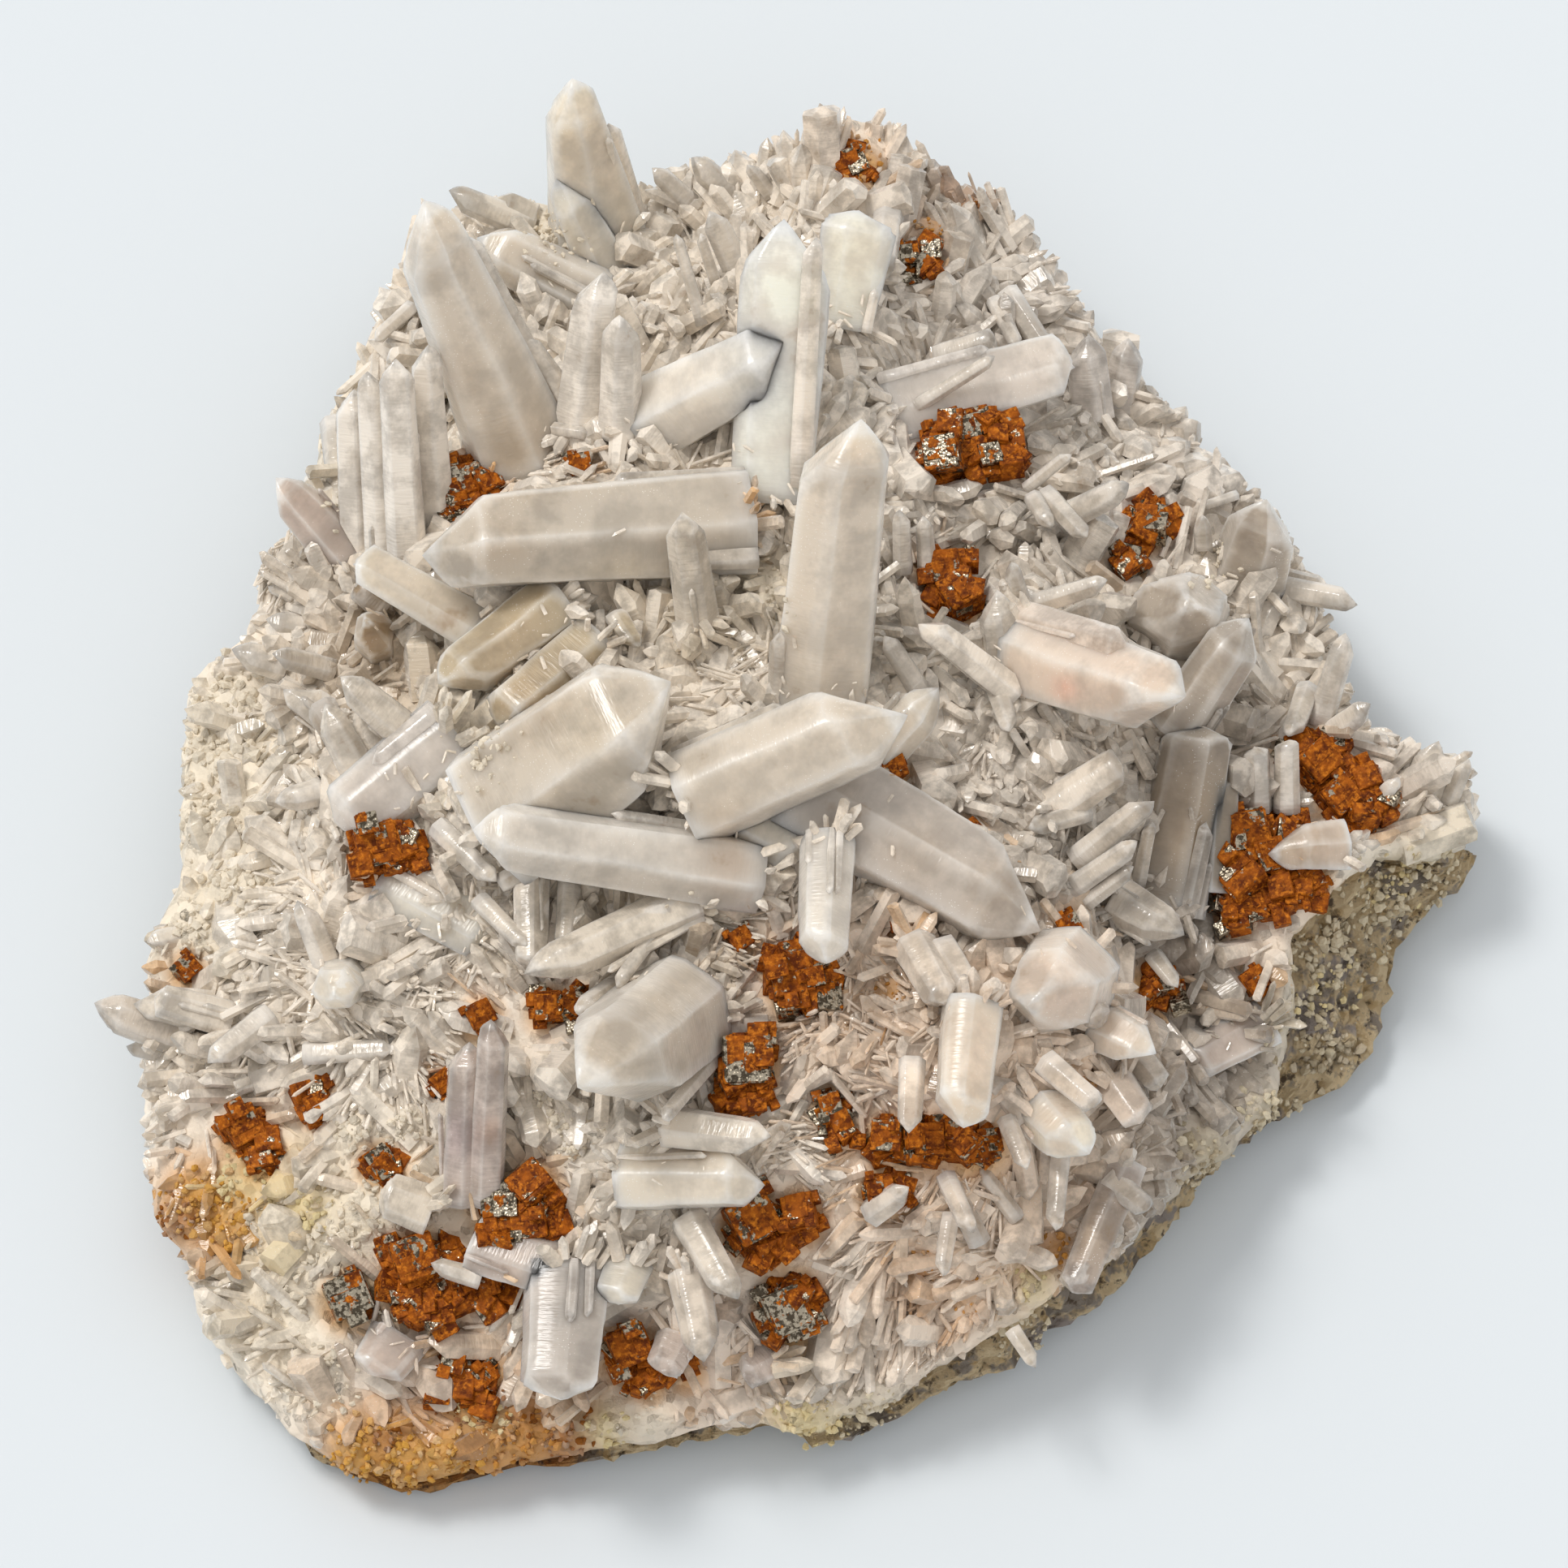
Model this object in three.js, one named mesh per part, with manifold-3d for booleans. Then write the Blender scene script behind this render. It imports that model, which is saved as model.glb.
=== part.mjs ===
// Pyrite on quartz: a hand-sized plate of altered rock, crusted with drusy quartz that has grown
// into a thicket of milky points, with limonite-stained pyrite seated in its hollows.
// Millimetres, +Z up. The origin is on the flat foot of the rock, under the middle of the plate.

import * as THREE from "three";
import { mergeVertices } from "three/addons/utils/BufferGeometryUtils.js";
import Module from "manifold-3d";

const wasm = await Module();
wasm.setup();

// Driving dimensions
const MM_PER_PIXEL = 0.08; // the plate is 136 mm across in a picture 1932 pixels wide
const PICTURE_MIDDLE = 966;
const EYE_TILT = THREE.MathUtils.degToRad(68); // the picture looks down on the plate
const EYE_DISTANCE = 800;
const AIM_HEIGHT = 20; // the picture is centred this far above the foot
const SEATING_GAP = 0.3; // between the rock, the quartz and each pyrite
const SIGHT_STEPS = 14; // halvings towards the surface that a pixel shows

// Quartz crust
const CRUST_THICKNESS = 8.5; // over the rock, away from the rim
const RIM_THICKNESS = 4.6; // where the rock shows beyond it
const OVERHANG_THICKNESS = 6.5; // where it overhangs the rock
const RIM_SHARE = 0.25; // the rim's width, as a share of the reach
const LOWEST_QUARTZ = 2.2; // over the foot
const SOUNDING_REACH = 4.6; // how far each height in RELIEF is felt
const FAR_WEIGHT = 1e-5; // of each height, past its reach
const RUGGEDNESS = 0.8;
const RIM_LINE = 0.45; // where the rim is widest, as a share of its thickness
const RIM_RUGGEDNESS = 0.2;
const SECTORS = 42; // round the plan
const UNDERSIDE_RINGS = [0.3, 0.57, 0.8, 0.95];
const SURFACE_RINGS = [0.21, 0.41, 0.6, 0.76, 0.88, 0.965];
const MERGE_TOLERANCE = 1e-4;

// Host rock
const HIDDEN_ROCK = 0.93; // the rock's reach under the quartz that overhangs it
const SHELF_SHARE = 0.96; // the reach of the shelf under the quartz, as a share of the rock's
const FOOT_SHARE = 0.86; // the flat foot's reach, as a share of the rock's
const ROCK_ENDS = 0.06; // radians past the ends of the shown rock
const GIRDLE_HEIGHT = 3.4; // of the rock's widest line
const GIRDLE_RUGGEDNESS = 0.8;
const FLANK_RUGGEDNESS = 0.1;
const FLANK_BULGE = 0.15;
const LEAST_STEP = 0.6; // between the widest line and the shelf

// Heights of the quartz surface over the foot, as [picture column, picture row, height].
const RELIEF = {
  crown: [
    [1030, 160, 21], [1060, 210, 27], [1000, 220, 25], [1120, 230, 21], [1050, 300, 27],
    [940, 240, 18], [870, 250, 17], [800, 290, 18], [740, 330, 20], [660, 290, 14],
    [900, 330, 23], [850, 420, 27], [750, 450, 27], [980, 500, 30], [980, 400, 29],
  ],
  farRight: [
    [1150, 270, 16], [1150, 330, 21], [1230, 300, 14], [1290, 400, 15], [1200, 400, 19],
    [1110, 450, 22], [1350, 460, 15], [1400, 520, 13], [1240, 500, 21], [1330, 560, 20],
    [1450, 560, 14], [1480, 640, 18], [1560, 700, 15], [1610, 790, 12],
  ],
  leftFlank: [
    [560, 290, 12], [520, 360, 15], [600, 400, 22], [680, 380, 22], [500, 470, 17],
    [430, 540, 12], [460, 620, 19], [560, 560, 25], [390, 640, 13], [420, 720, 20],
    [350, 730, 15], [350, 810, 17], [270, 850, 12], [300, 900, 16], [250, 950, 12],
    [310, 1010, 18], [250, 1050, 12], [420, 850, 21], [380, 940, 21],
  ],
  heart: [
    [650, 640, 30], [800, 650, 31], [900, 720, 30], [1000, 700, 31], [700, 800, 30],
    [560, 720, 27], [500, 800, 23], [600, 880, 30], [800, 900, 33], [950, 920, 33],
    [1060, 900, 32], [1100, 780, 30], [1140, 600, 27], [1180, 720, 26], [1090, 660, 30],
    [480, 950, 25], [560, 1010, 28], [700, 1030, 31], [860, 1040, 31], [980, 1030, 31],
    [1100, 1040, 31], [1200, 1050, 30], [1180, 960, 28], [1240, 880, 29], [1310, 980, 28],
  ],
  right: [
    [1260, 640, 24], [1380, 680, 22], [1300, 780, 28], [1450, 760, 23], [1400, 860, 26],
    [1520, 800, 19], [1560, 870, 17], [1390, 960, 25], [1360, 1060, 26], [1460, 960, 19],
    [1460, 1060, 17], [1420, 1140, 15],
  ],
  arm: [
    [1560, 940, 18], [1640, 900, 14], [1640, 970, 18], [1730, 950, 14], [1790, 980, 10],
    [1560, 1050, 19], [1650, 1040, 18], [1760, 1020, 13], [1530, 1130, 18], [1560, 1200, 16],
    [1460, 1210, 14], [1500, 1280, 12], [1540, 1340, 9],
  ],
  ledge: [
    [1450, 1300, 11], [1440, 1390, 9], [1400, 1470, 8], [1340, 1540, 7], [1290, 1600, 7],
    [1200, 1650, 6], [1120, 1700, 6], [1040, 1740, 6],
  ],
  brow: [
    [1310, 1130, 27], [1350, 1200, 28], [1385, 1280, 28], [1385, 1350, 27], [1345, 1420, 25],
    [1280, 1490, 22], [1270, 1550, 20], [1200, 1600, 17], [1110, 1650, 14], [1020, 1700, 11],
  ],
  lowerPlateau: [
    [1000, 1150, 29], [1100, 1160, 29], [1220, 1180, 30], [1250, 1290, 31], [1130, 1260, 30],
    [1010, 1270, 28], [900, 1150, 28], [880, 1260, 27], [1190, 1400, 27], [1080, 1410, 25],
    [960, 1400, 26], [1200, 1500, 24], [1090, 1540, 22], [980, 1560, 20], [860, 1470, 24],
    [860, 1580, 18], [930, 1660, 14],
  ],
  basin: [
    [480, 1060, 24], [600, 1110, 27], [720, 1130, 27], [780, 1220, 27], [640, 1220, 24],
    [500, 1180, 22], [380, 1120, 21], [400, 1230, 20], [300, 1200, 17], [230, 1180, 12],
    [520, 1320, 20], [400, 1350, 17], [640, 1360, 22], [760, 1360, 25], [300, 1330, 15],
    [220, 1320, 10], [230, 1420, 10], [320, 1430, 14], [460, 1440, 16], [580, 1450, 19],
  ],
  foreEdge: [
    [720, 1480, 20], [640, 1560, 16], [760, 1600, 15], [520, 1560, 15], [400, 1560, 12],
    [280, 1540, 9], [330, 1660, 8], [450, 1660, 10], [560, 1680, 10], [690, 1670, 11],
    [800, 1700, 10], [880, 1730, 7], [960, 1730, 7], [700, 1760, 6], [560, 1780, 6],
    [440, 1760, 6],
  ],
};

// The edge of the quartz, clockwise from the crown, as [picture column, picture row, height].
const QUARTZ_EDGE = [
  [1030, 158, 20], [1100, 172, 19], [1150, 248, 14], [1235, 268, 12], [1300, 355, 12],
  [1345, 420, 12], [1400, 490, 12], [1455, 525, 12], [1485, 590, 12], [1530, 620, 12],
  [1590, 690, 12], [1630, 770, 11], [1640, 850, 12], [1680, 900, 13], [1740, 925, 13],
  [1795, 935, 11], [1815, 1000, 9], [1790, 1040, 10], [1690, 1045, 15], [1620, 1100, 16],
  [1580, 1150, 16], [1580, 1210, 14], [1570, 1270, 11], [1560, 1340, 8], [1520, 1395, 8],
  [1460, 1450, 8], [1420, 1500, 7], [1370, 1560, 7], [1300, 1605, 6], [1240, 1640, 6],
  [1150, 1690, 6], [1060, 1728, 6], [1000, 1745, 6], [940, 1748, 6], [850, 1755, 6],
  [750, 1762, 6], [650, 1775, 6], [540, 1795, 6], [440, 1790, 6], [385, 1765, 6],
  [320, 1700, 7], [262, 1630, 7], [240, 1550, 8], [205, 1490, 8], [193, 1420, 8],
  [188, 1330, 8], [190, 1230, 9], [200, 1150, 10], [222, 1110, 11], [240, 1060, 11],
  [240, 980, 11], [240, 900, 11], [255, 840, 12], [320, 790, 13], [335, 720, 13],
  [372, 660, 13], [405, 590, 12], [410, 530, 12], [458, 440, 12], [492, 360, 12],
  [525, 290, 12], [590, 262, 12], [660, 270, 13], [720, 290, 14], [780, 262, 15],
  [850, 228, 15], [920, 215, 16], [970, 205, 18],
];

// The edge of the rock where it shows beyond the quartz, from the arm round to the left.
const ROCK_EDGE = [
  [1822, 1040, 6], [1808, 1085, 5], [1775, 1112, 4], [1722, 1165, 4], [1716, 1225, 4],
  [1685, 1305, 4], [1600, 1365, 4], [1520, 1412, 4], [1470, 1470, 4], [1425, 1530, 4],
  [1372, 1585, 4], [1305, 1635, 4], [1245, 1680, 4], [1150, 1718, 3], [1060, 1772, 3],
  [1000, 1780, 3], [950, 1758, 3], [850, 1779, 3], [700, 1803, 3], [640, 1803, 3],
  [500, 1832, 3], [430, 1812, 3], [380, 1778, 4],
];

// Quartz points: root column and row, tip column and row, width, rise of the tip over the root,
// height of the root over the quartz surface, then what departs from a plain point. There, flat
// is depth over width, taper is root width over shoulder width, blunt is a broken end, and point
// is the length of the end over the width.
const POINTS = {
  top_spire: [738, 305, 697, 99, 6.2, 19, -1, { taper: 1.75 }],
  top_spire_front: [748, 338, 690, 220, 4.6, 9, 0, { taper: 1.3 }],
  top_spire_side: [785, 285, 750, 150, 2.0, 14, -1, { taper: 1.3 }],
  left_tower: [650, 570, 512, 252, 8.4, 22, -2, { taper: 1.35 }],
  back_bar: [655, 278, 552, 238, 2.8, 4, 1, {}],
  back_nub: [655, 270, 602, 243, 3.2, 2, 1, { point: 0.5 }],
  back_log: [740, 372, 588, 292, 6.0, 3, 1, {}],
  clear_left: [712, 528, 738, 333, 4.4, 12, 1, {}],
  clear_right: [764, 538, 766, 390, 4.0, 10, 2, {}],
  twin_small: [908, 330, 874, 258, 2.7, 5, 2, {}],
  crown_left_a: [852, 252, 803, 206, 2.0, 3, 1, {}],
  crown_left_b: [915, 250, 850, 197, 2.8, 4, 0, {}],
  crown_left_c: [950, 240, 922, 202, 1.7, 3, 0, {}],
  big_blade: [950, 620, 972, 270, 9.6, 12, 1, { flat: 0.5, taper: 0.85 }],
  fan_plate: [1036, 405, 1060, 262, 8.2, 5, 2, { flat: 0.35, blunt: true, taper: 0.7 }],
  white_point: [800, 518, 972, 428, 8.8, 10, 2, { taper: 1.15, point: 0.4 }],
  centre_tower: [1008, 870, 1048, 515, 9.2, 22, 0, { taper: 1.08, point: 0.55 }],
  big_log: [915, 648, 520, 672, 10.8, 3, 4, { taper: 1.05 }],
  sentinel: [862, 768, 842, 628, 3.9, 10, 3, {}],
  smoky_left: [690, 742, 545, 848, 6.0, 1, 2, { taper: 1.1, point: 0.5 }],
  smoky_right: [735, 790, 612, 890, 6.6, 1, 1, { blunt: true }],
  great_point: [612, 1012, 838, 848, 14.5, 12, 2, { taper: 1.05, point: 0.5 }],
  right_point: [850, 985, 1114, 868, 9.8, 9, 4, { taper: 1.0 }],
  right_point_back: [1075, 935, 1158, 850, 4.6, 4, 2, {}],
  left_log: [935, 1075, 580, 1022, 7.2, 8, 2, { taper: 1.1, point: 0.5 }],
  diagonal_slab: [985, 962, 1290, 1135, 10.4, -1, 2, { flat: 0.7 }],
  white_stub: [1020, 1035, 1014, 1185, 4.9, 3, 6, { point: 0.4 }],
  pink_point: [1268, 802, 1463, 868, 9.4, 11, 2, { taper: 1.15 }],
  pink_side: [1250, 762, 1396, 800, 3.8, 8, 4, { point: 0.5 }],
  facing_hexagon: [1448, 775, 1456, 735, 9.8, 12, -2, { point: 0.45 }],
  corner_hexagon: [1535, 715, 1566, 612, 7.6, 9, 1, { point: 0.55 }],
  finger_right: [1560, 722, 1674, 742, 2.6, 3, 1, {}],
  finger_up: [1625, 892, 1660, 781, 2.6, 6, 1, {}],
  finger_fork: [1640, 905, 1691, 868, 2.7, 4, 1, {}],
  grey_slab_a: [1448, 905, 1542, 765, 5.8, 7, 1, { point: 0.5 }],
  grey_slab_b: [1436, 1125, 1478, 895, 7.2, 7, 1, { flat: 0.6, blunt: true }],
  grey_slab_c: [1490, 1100, 1500, 955, 4.6, 4, 1, { blunt: true }],
  arm_pair_a: [1550, 1000, 1548, 920, 2.9, 4, 1, { blunt: true }],
  arm_pink: [1655, 1040, 1562, 1046, 5.6, 2, 2, { flat: 0.7 }],
  arm_smoky_tip: [1752, 978, 1775, 912, 4.0, 4, 0, {}],
  arm_far_tip: [1785, 990, 1808, 934, 1.8, 3, 1, {}],
  glass_a: [1308, 640, 1391, 598, 2.7, 5, 3, {}],
  glass_g: [1250, 855, 1134, 766, 3.1, 7, 3, {}],
  glass_i: [1240, 835, 1224, 728, 3.7, 6, 1, {}],
  brush_a: [1325, 1062, 1420, 984, 2.7, 5, 2, {}],
  brush_e: [1290, 1000, 1382, 940, 4.2, 4, 1, { flat: 0.6, blunt: true }],
  broken_slab: [1092, 520, 1322, 452, 7.2, 2, 3, { flat: 0.6, blunt: true }],
  far_pair_a: [1346, 515, 1336, 414, 4.0, 6, 1, { point: 0.5 }],
  far_pair_b: [1376, 505, 1394, 418, 3.4, 5, 0, { point: 0.5 }],
  left_finger: [432, 690, 338, 588, 4.7, 6, 1, { taper: 1.2 }],
  left_nub_a: [350, 822, 285, 803, 3.0, 2, 1, {}],
  left_nub_c: [362, 735, 331, 720, 1.8, 1, 0, {}],
  left_nub_d: [375, 775, 327, 764, 2.8, 1, 0, {}],
  out_left: [225, 1278, 115, 1240, 4.0, 3, 0, {}],
  out_left_under: [220, 1302, 156, 1286, 2.3, 0, -1, {}],
  out_left_nub: [222, 1150, 180, 1162, 2.4, 1, 0, {}],
  organ_a: [440, 700, 432, 480, 3.3, 13, 0, {}],
  organ_b: [472, 702, 457, 458, 3.4, 15, 1, {}],
  organ_c: [503, 690, 488, 440, 3.6, 15, 2, {}],
  organ_d: [540, 650, 524, 425, 3.2, 14, 0, {}],
  grooved_slab: [590, 778, 438, 690, 4.9, 2, 3, { flat: 0.6, blunt: true }],
  oval_a: [502, 905, 418, 834, 3.7, 4, 2, {}],
  oval_b: [448, 958, 397, 868, 3.3, 4, 1, {}],
  oval_c: [405, 885, 352, 845, 3.9, 2, 1, {}],
  blue_slab: [562, 905, 418, 1020, 8.6, -2, 0, { flat: 0.45, blunt: true }],
  hanging_pair_a: [655, 1085, 655, 1192, 3.3, 0, 2, { blunt: true }],
  ridge_prism: [855, 1110, 648, 1203, 4.2, 2, 2, { point: 0.9 }],
  lower_great_point: [856, 1262, 672, 1322, 11.8, 11, 2, {}],
  twin_spire_a: [566, 1482, 574, 1284, 3.4, 11, 1, {}],
  twin_spire_b: [598, 1482, 609, 1257, 3.3, 13, 1, {}],
  low_point_upper: [822, 1386, 952, 1402, 3.8, 4, 4, {}],
  low_point: [768, 1452, 942, 1452, 6.0, 5, 3, { point: 0.5 }],
  white_plate: [702, 1560, 690, 1722, 8.0, 1, 3, { flat: 0.45, blunt: true }],
  smoky_plate: [585, 1528, 688, 1566, 5.8, 1, 2, { flat: 0.45, blunt: true }],
  tan_shard: [848, 1500, 906, 1602, 3.2, 1, 2, {}],
  pale_shard: [846, 1568, 868, 1680, 3.7, 0, 3, {}],
  facing_lower: [1322, 1200, 1278, 1240, 9.6, 8, 1, { point: 0.5 }],
  down_prism: [1196, 1238, 1180, 1388, 5.7, 1, 4, { point: 0.4 }],
  edge_prism: [1288, 1308, 1352, 1362, 2.7, 2, 3, { blunt: true }],
  pink_lower: [1285, 1368, 1336, 1424, 5.6, 3, 2, { point: 0.5 }],
  brow_plate_a: [1352, 1262, 1426, 1300, 4.9, 2, 2, { flat: 0.6 }],
  brow_plate_b: [1372, 1330, 1408, 1382, 4.0, 1, 2, { flat: 0.6, blunt: true }],
  ledge_slab: [1388, 1432, 1322, 1592, 4.2, -1, 2, { blunt: true }],
  arm_prism: [1376, 1108, 1456, 1156, 4.3, 1, 2, {}],
  ledge_plate: [1562, 1258, 1468, 1308, 4.8, 1, 1, { flat: 0.4, blunt: true }],
  facing_small: [424, 1206, 406, 1226, 4.6, 5, 1, { point: 0.4 }],
  basin_slab_a: [334, 1252, 256, 1312, 2.8, 1, 2, {}],
  basin_slab_c: [285, 1256, 190, 1230, 3.6, 2, 1, { blunt: true }],
  basin_prism: [406, 1198, 370, 1108, 2.8, 4, 1, {}],
  basin_plate: [478, 1076, 606, 1152, 7.0, 1, 1, { flat: 0.4, blunt: true }],
};
const LONGEST_END = 0.7; // of a point, as a share of its length
const APEX_OFFSET = 0.24; // from the axis, as a share of the radius
const TURN_STEP = 0.7; // about its own axis, from one point to the next

// Small points of the druse
const DRUSE_SEED = 11;
const DRUSE_COUNT = 9;
const DRUSE_SPREAD = 0.94;
const DRUSE_LENGTH = [3.6, 7];
const DRUSE_SUNK = 0.3;
const DRUSE_LEAN = 1.6;
const DRUSE_SLENDERNESS = 0.38;

// Pyrite groups: each crystal is its picture column and row, edge length, turn in degrees, and
// height over its usual seat where it stands on something.
const PYRITE = {
  pyrite_crown: [[1045, 200, 1.8, 20], [1068, 218, 1.6, 50]],
  pyrite_crown_right: [[1118, 316, 2.1, 8], [1140, 334, 2.0, 40]],
  pyrite_high_cubes: [[1196, 536, 3.7, 14, 2], [1162, 566, 3.2, 4, 1.6], [1226, 560, 2.6, 38, 1.6]],
  pyrite_behind_tower: [[572, 604, 3.6, 12], [600, 600, 2.4, 30]],
  pyrite_behind_log: [[715, 576, 2.0, 12]],
  pyrite_bead: [[908, 655, 1.6, 45]],
  pyrite_right_block: [[1160, 706, 3.2, 6], [1182, 742, 3.4, 30]],
  pyrite_far_right: [[1408, 658, 2.6, 62], [1388, 700, 2.4, 40], [1420, 640, 1.9, 5]],
  pyrite_under_point: [[1094, 948, 2.9, 20, 1.5]],
  pyrite_button: [[1196, 1024, 1.6, 45]],
  pyrite_left_cube: [[466, 1048, 3.8, 14, 2], [490, 1052, 2.8, 30, 1.6]],
  pyrite_left_edge: [[230, 1196, 2.1, 45]],
  pyrite_basin: [[392, 1366, 2.3, 25], [390, 1345, 1.4, 5]],
  pyrite_left_mass: [[300, 1392, 3.2, 30], [325, 1430, 2.2, 12]],
  pyrite_striated: [[468, 1434, 2.3, 35], [484, 1444, 1.8, 10]],
  pyrite_spire_back: [[592, 1254, 2.3, 30]],
  pyrite_point_back: [[676, 1244, 2.6, 4], [712, 1240, 2.2, 50]],
  pyrite_spire_foot: [[546, 1336, 2.0, 40]],
  pyrite_twin_cubes: [[612, 1484, 3.0, 10], [658, 1468, 3.4, 40], [655, 1510, 3.3, 4]],
  pyrite_lower_left: [
    [512, 1556, 3.9, 20], [504, 1598, 3.0, 45], [560, 1594, 2.2, 8], [602, 1588, 1.8, 20],
  ],
  pyrite_bright_cube: [[430, 1602, 3.7, 24]],
  pyrite_column: [[974, 1207, 3.8, 12], [992, 1190, 3.0, 28], [980, 1230, 3.0, 5]],
  pyrite_banded_cube: [[920, 1313, 4.4, 2], [922, 1340, 2.6, 10]],
  pyrite_fragment: [[912, 1160, 1.9, 33]],
  pyrite_stub_side: [[1120, 1150, 2.0, 12]],
  pyrite_wall: [[1316, 1146, 2.1, 30]],
  pyrite_clinker: [[1022, 1364, 2.0, 15], [1040, 1400, 1.7, 40]],
  pyrite_cluster: [
    [1092, 1404, 2.8, -4], [1140, 1410, 2.8, 8], [1190, 1416, 2.6, 44], [1216, 1412, 2.2, 12],
  ],
  pyrite_cluster_foot: [[1084, 1469, 2.5, 8], [1106, 1474, 2.0, 35]],
  pyrite_low_mass: [[926, 1508, 4.0, 30], [986, 1500, 2.9, 10], [955, 1532, 2.6, 45]],
  pyrite_low_mirror: [[968, 1622, 3.9, 25], [980, 1600, 2.8, 48]],
  pyrite_fore: [[775, 1664, 3.5, 25], [800, 1702, 1.8, 5]],
  pyrite_fore_bead: [[848, 1690, 1.7, 25]],
  pyrite_fore_peppered: [[560, 1680, 2.2, -15], [596, 1700, 2.0, 44], [572, 1718, 2.0, 8]],
  pyrite_arm_upper: [[1622, 944, 3.2, 42], [1650, 986, 3.0, 40], [1680, 1010, 2.4, 5]],
  pyrite_arm_lower: [[1536, 1030, 3.6, 10], [1530, 1090, 3.7, 40], [1560, 1062, 3.0, 22]],
  pyrite_arm_bead: [[1618, 1086, 1.8, 30]],
  pyrite_ledge_left: [[1432, 1214, 2.6, 10], [1416, 1222, 2.0, 40]],
  pyrite_ledge_right: [[1544, 1212, 2.2, 35]],
};
const LIMONITE_REACH = 0.72; // past the outermost pyrites, as a share of the largest one's edge
const LIMONITE_DEPTH = 0.8; // its half height, as a share of that reach
const LIMONITE_INSET = 0.4; // of its top on each side, as a share of that reach
const LIMONITE_SUNK = 0.5; // its middle under the pyrites', as a share of its half height
const PYRITE_STANDS = 0.28; // a pyrite's middle over the quartz surface, as a share of its edge
const PYRITE_LEAN = 0.35;

const FINISHES = {
  rock: { color: 0x9a907c, roughness: 0.9, metalness: 0 },
  quartz: { color: 0xd9d2c8, roughness: 0.3, metalness: 0 },
  pyrite: { color: 0x8a5226, roughness: 0.5, metalness: 0.3 },
};

const UP = new THREE.Vector3(0, 0, 1);
const FULL_TURN = 2 * Math.PI;

// Where the line of sight through a pixel of the picture is at a height over the foot.
function place(column, row, height) {
  const perPixel = MM_PER_PIXEL / EYE_DISTANCE;
  const across = (column - PICTURE_MIDDLE) * perPixel;
  const up = (PICTURE_MIDDLE - row) * perPixel;
  const sine = Math.sin(EYE_TILT);
  const cosine = Math.cos(EYE_TILT);
  const eye = new THREE.Vector3(0, -EYE_DISTANCE * cosine, AIM_HEIGHT + EYE_DISTANCE * sine);
  const sight = new THREE.Vector3(across, cosine + up * sine, up * cosine - sine);
  return eye.addScaledVector(sight, (height - eye.z) / sight.z);
}

const soundings = Object.values(RELIEF)
  .flat()
  .map(([column, row, height]) => place(column, row, height));

// Height of the quartz surface at a point of the plan.
function surfaceHeight(x, y) {
  let total = 0;
  let weights = 0;
  for (const sounding of soundings) {
    const apart = (sounding.x - x) ** 2 + (sounding.y - y) ** 2;
    const weight = Math.exp(-apart / (2 * SOUNDING_REACH ** 2)) + FAR_WEIGHT / (1 + apart);
    total += weight * sounding.z;
    weights += weight;
  }
  return total / weights;
}

// The point of the quartz surface that a pixel of the picture shows, raised by a lift.
function onSurface(column, row, lift = 0) {
  let height = AIM_HEIGHT;
  for (let step = 0; step < SIGHT_STEPS; step++) {
    const seen = place(column, row, height);
    height = (height + surfaceHeight(seen.x, seen.y) + lift) / 2;
  }
  return place(column, row, height);
}

// The reach of an outline from the origin, as a function of the bearing.
function reachOf(points) {
  const spokes = points.map((point) => ({ angle: bearing(point), reach: Math.hypot(point.x, point.y) }));
  spokes.sort((a, b) => a.angle - b.angle);
  const first = spokes[0];
  const last = spokes.at(-1);
  const ring = [
    { angle: last.angle - FULL_TURN, reach: last.reach },
    ...spokes,
    { angle: first.angle + FULL_TURN, reach: first.reach },
  ];
  return (angle) => {
    const turned = THREE.MathUtils.euclideanModulo(angle, FULL_TURN);
    const next = ring.findIndex((spoke) => spoke.angle > turned);
    const [a, b] = [ring[next - 1], ring[next]];
    return THREE.MathUtils.mapLinear(turned, a.angle, b.angle, a.reach, b.reach);
  };
}

function bearing(point) {
  return THREE.MathUtils.euclideanModulo(Math.atan2(point.y, point.x), FULL_TURN);
}

const quartzEdge = QUARTZ_EDGE.map(([column, row, height]) => place(column, row, height));
const shownRock = ROCK_EDGE.map(([column, row, height]) => place(column, row, height));
const hiddenRock = quartzEdge
  .filter((point) => !rockShows(bearing(point)))
  .map((point) => point.clone().multiplyScalar(HIDDEN_ROCK));
const quartzReach = reachOf(quartzEdge);
const rockReach = reachOf([...shownRock, ...hiddenRock]);

// The rock shows beyond the quartz from the arm, clockwise, to the lower left.
function rockShows(angle) {
  return angle < bearing(shownRock[0]) + ROCK_ENDS && angle > bearing(shownRock.at(-1)) - ROCK_ENDS;
}

// A closed mesh as a solid that can be joined and cut.
function solid(geometry) {
  geometry.deleteAttribute("normal");
  geometry.deleteAttribute("uv");
  const merged = mergeVertices(geometry, MERGE_TOLERANCE);
  const mesh = new wasm.Mesh({
    numProp: 3,
    vertProperties: merged.attributes.position.array,
    triVerts: new Uint32Array(merged.index.array),
  });
  return new wasm.Manifold(mesh);
}

function joined(solids) {
  return solids.reduce((whole, piece) => whole.add(piece));
}

// What is left of a solid once crumbs that a cut has parted from it are dropped.
function largestBody(whole) {
  const bodies = whole.decompose();
  return bodies.reduce((largest, body) => (body.volume() > largest.volume() ? body : largest));
}

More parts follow.
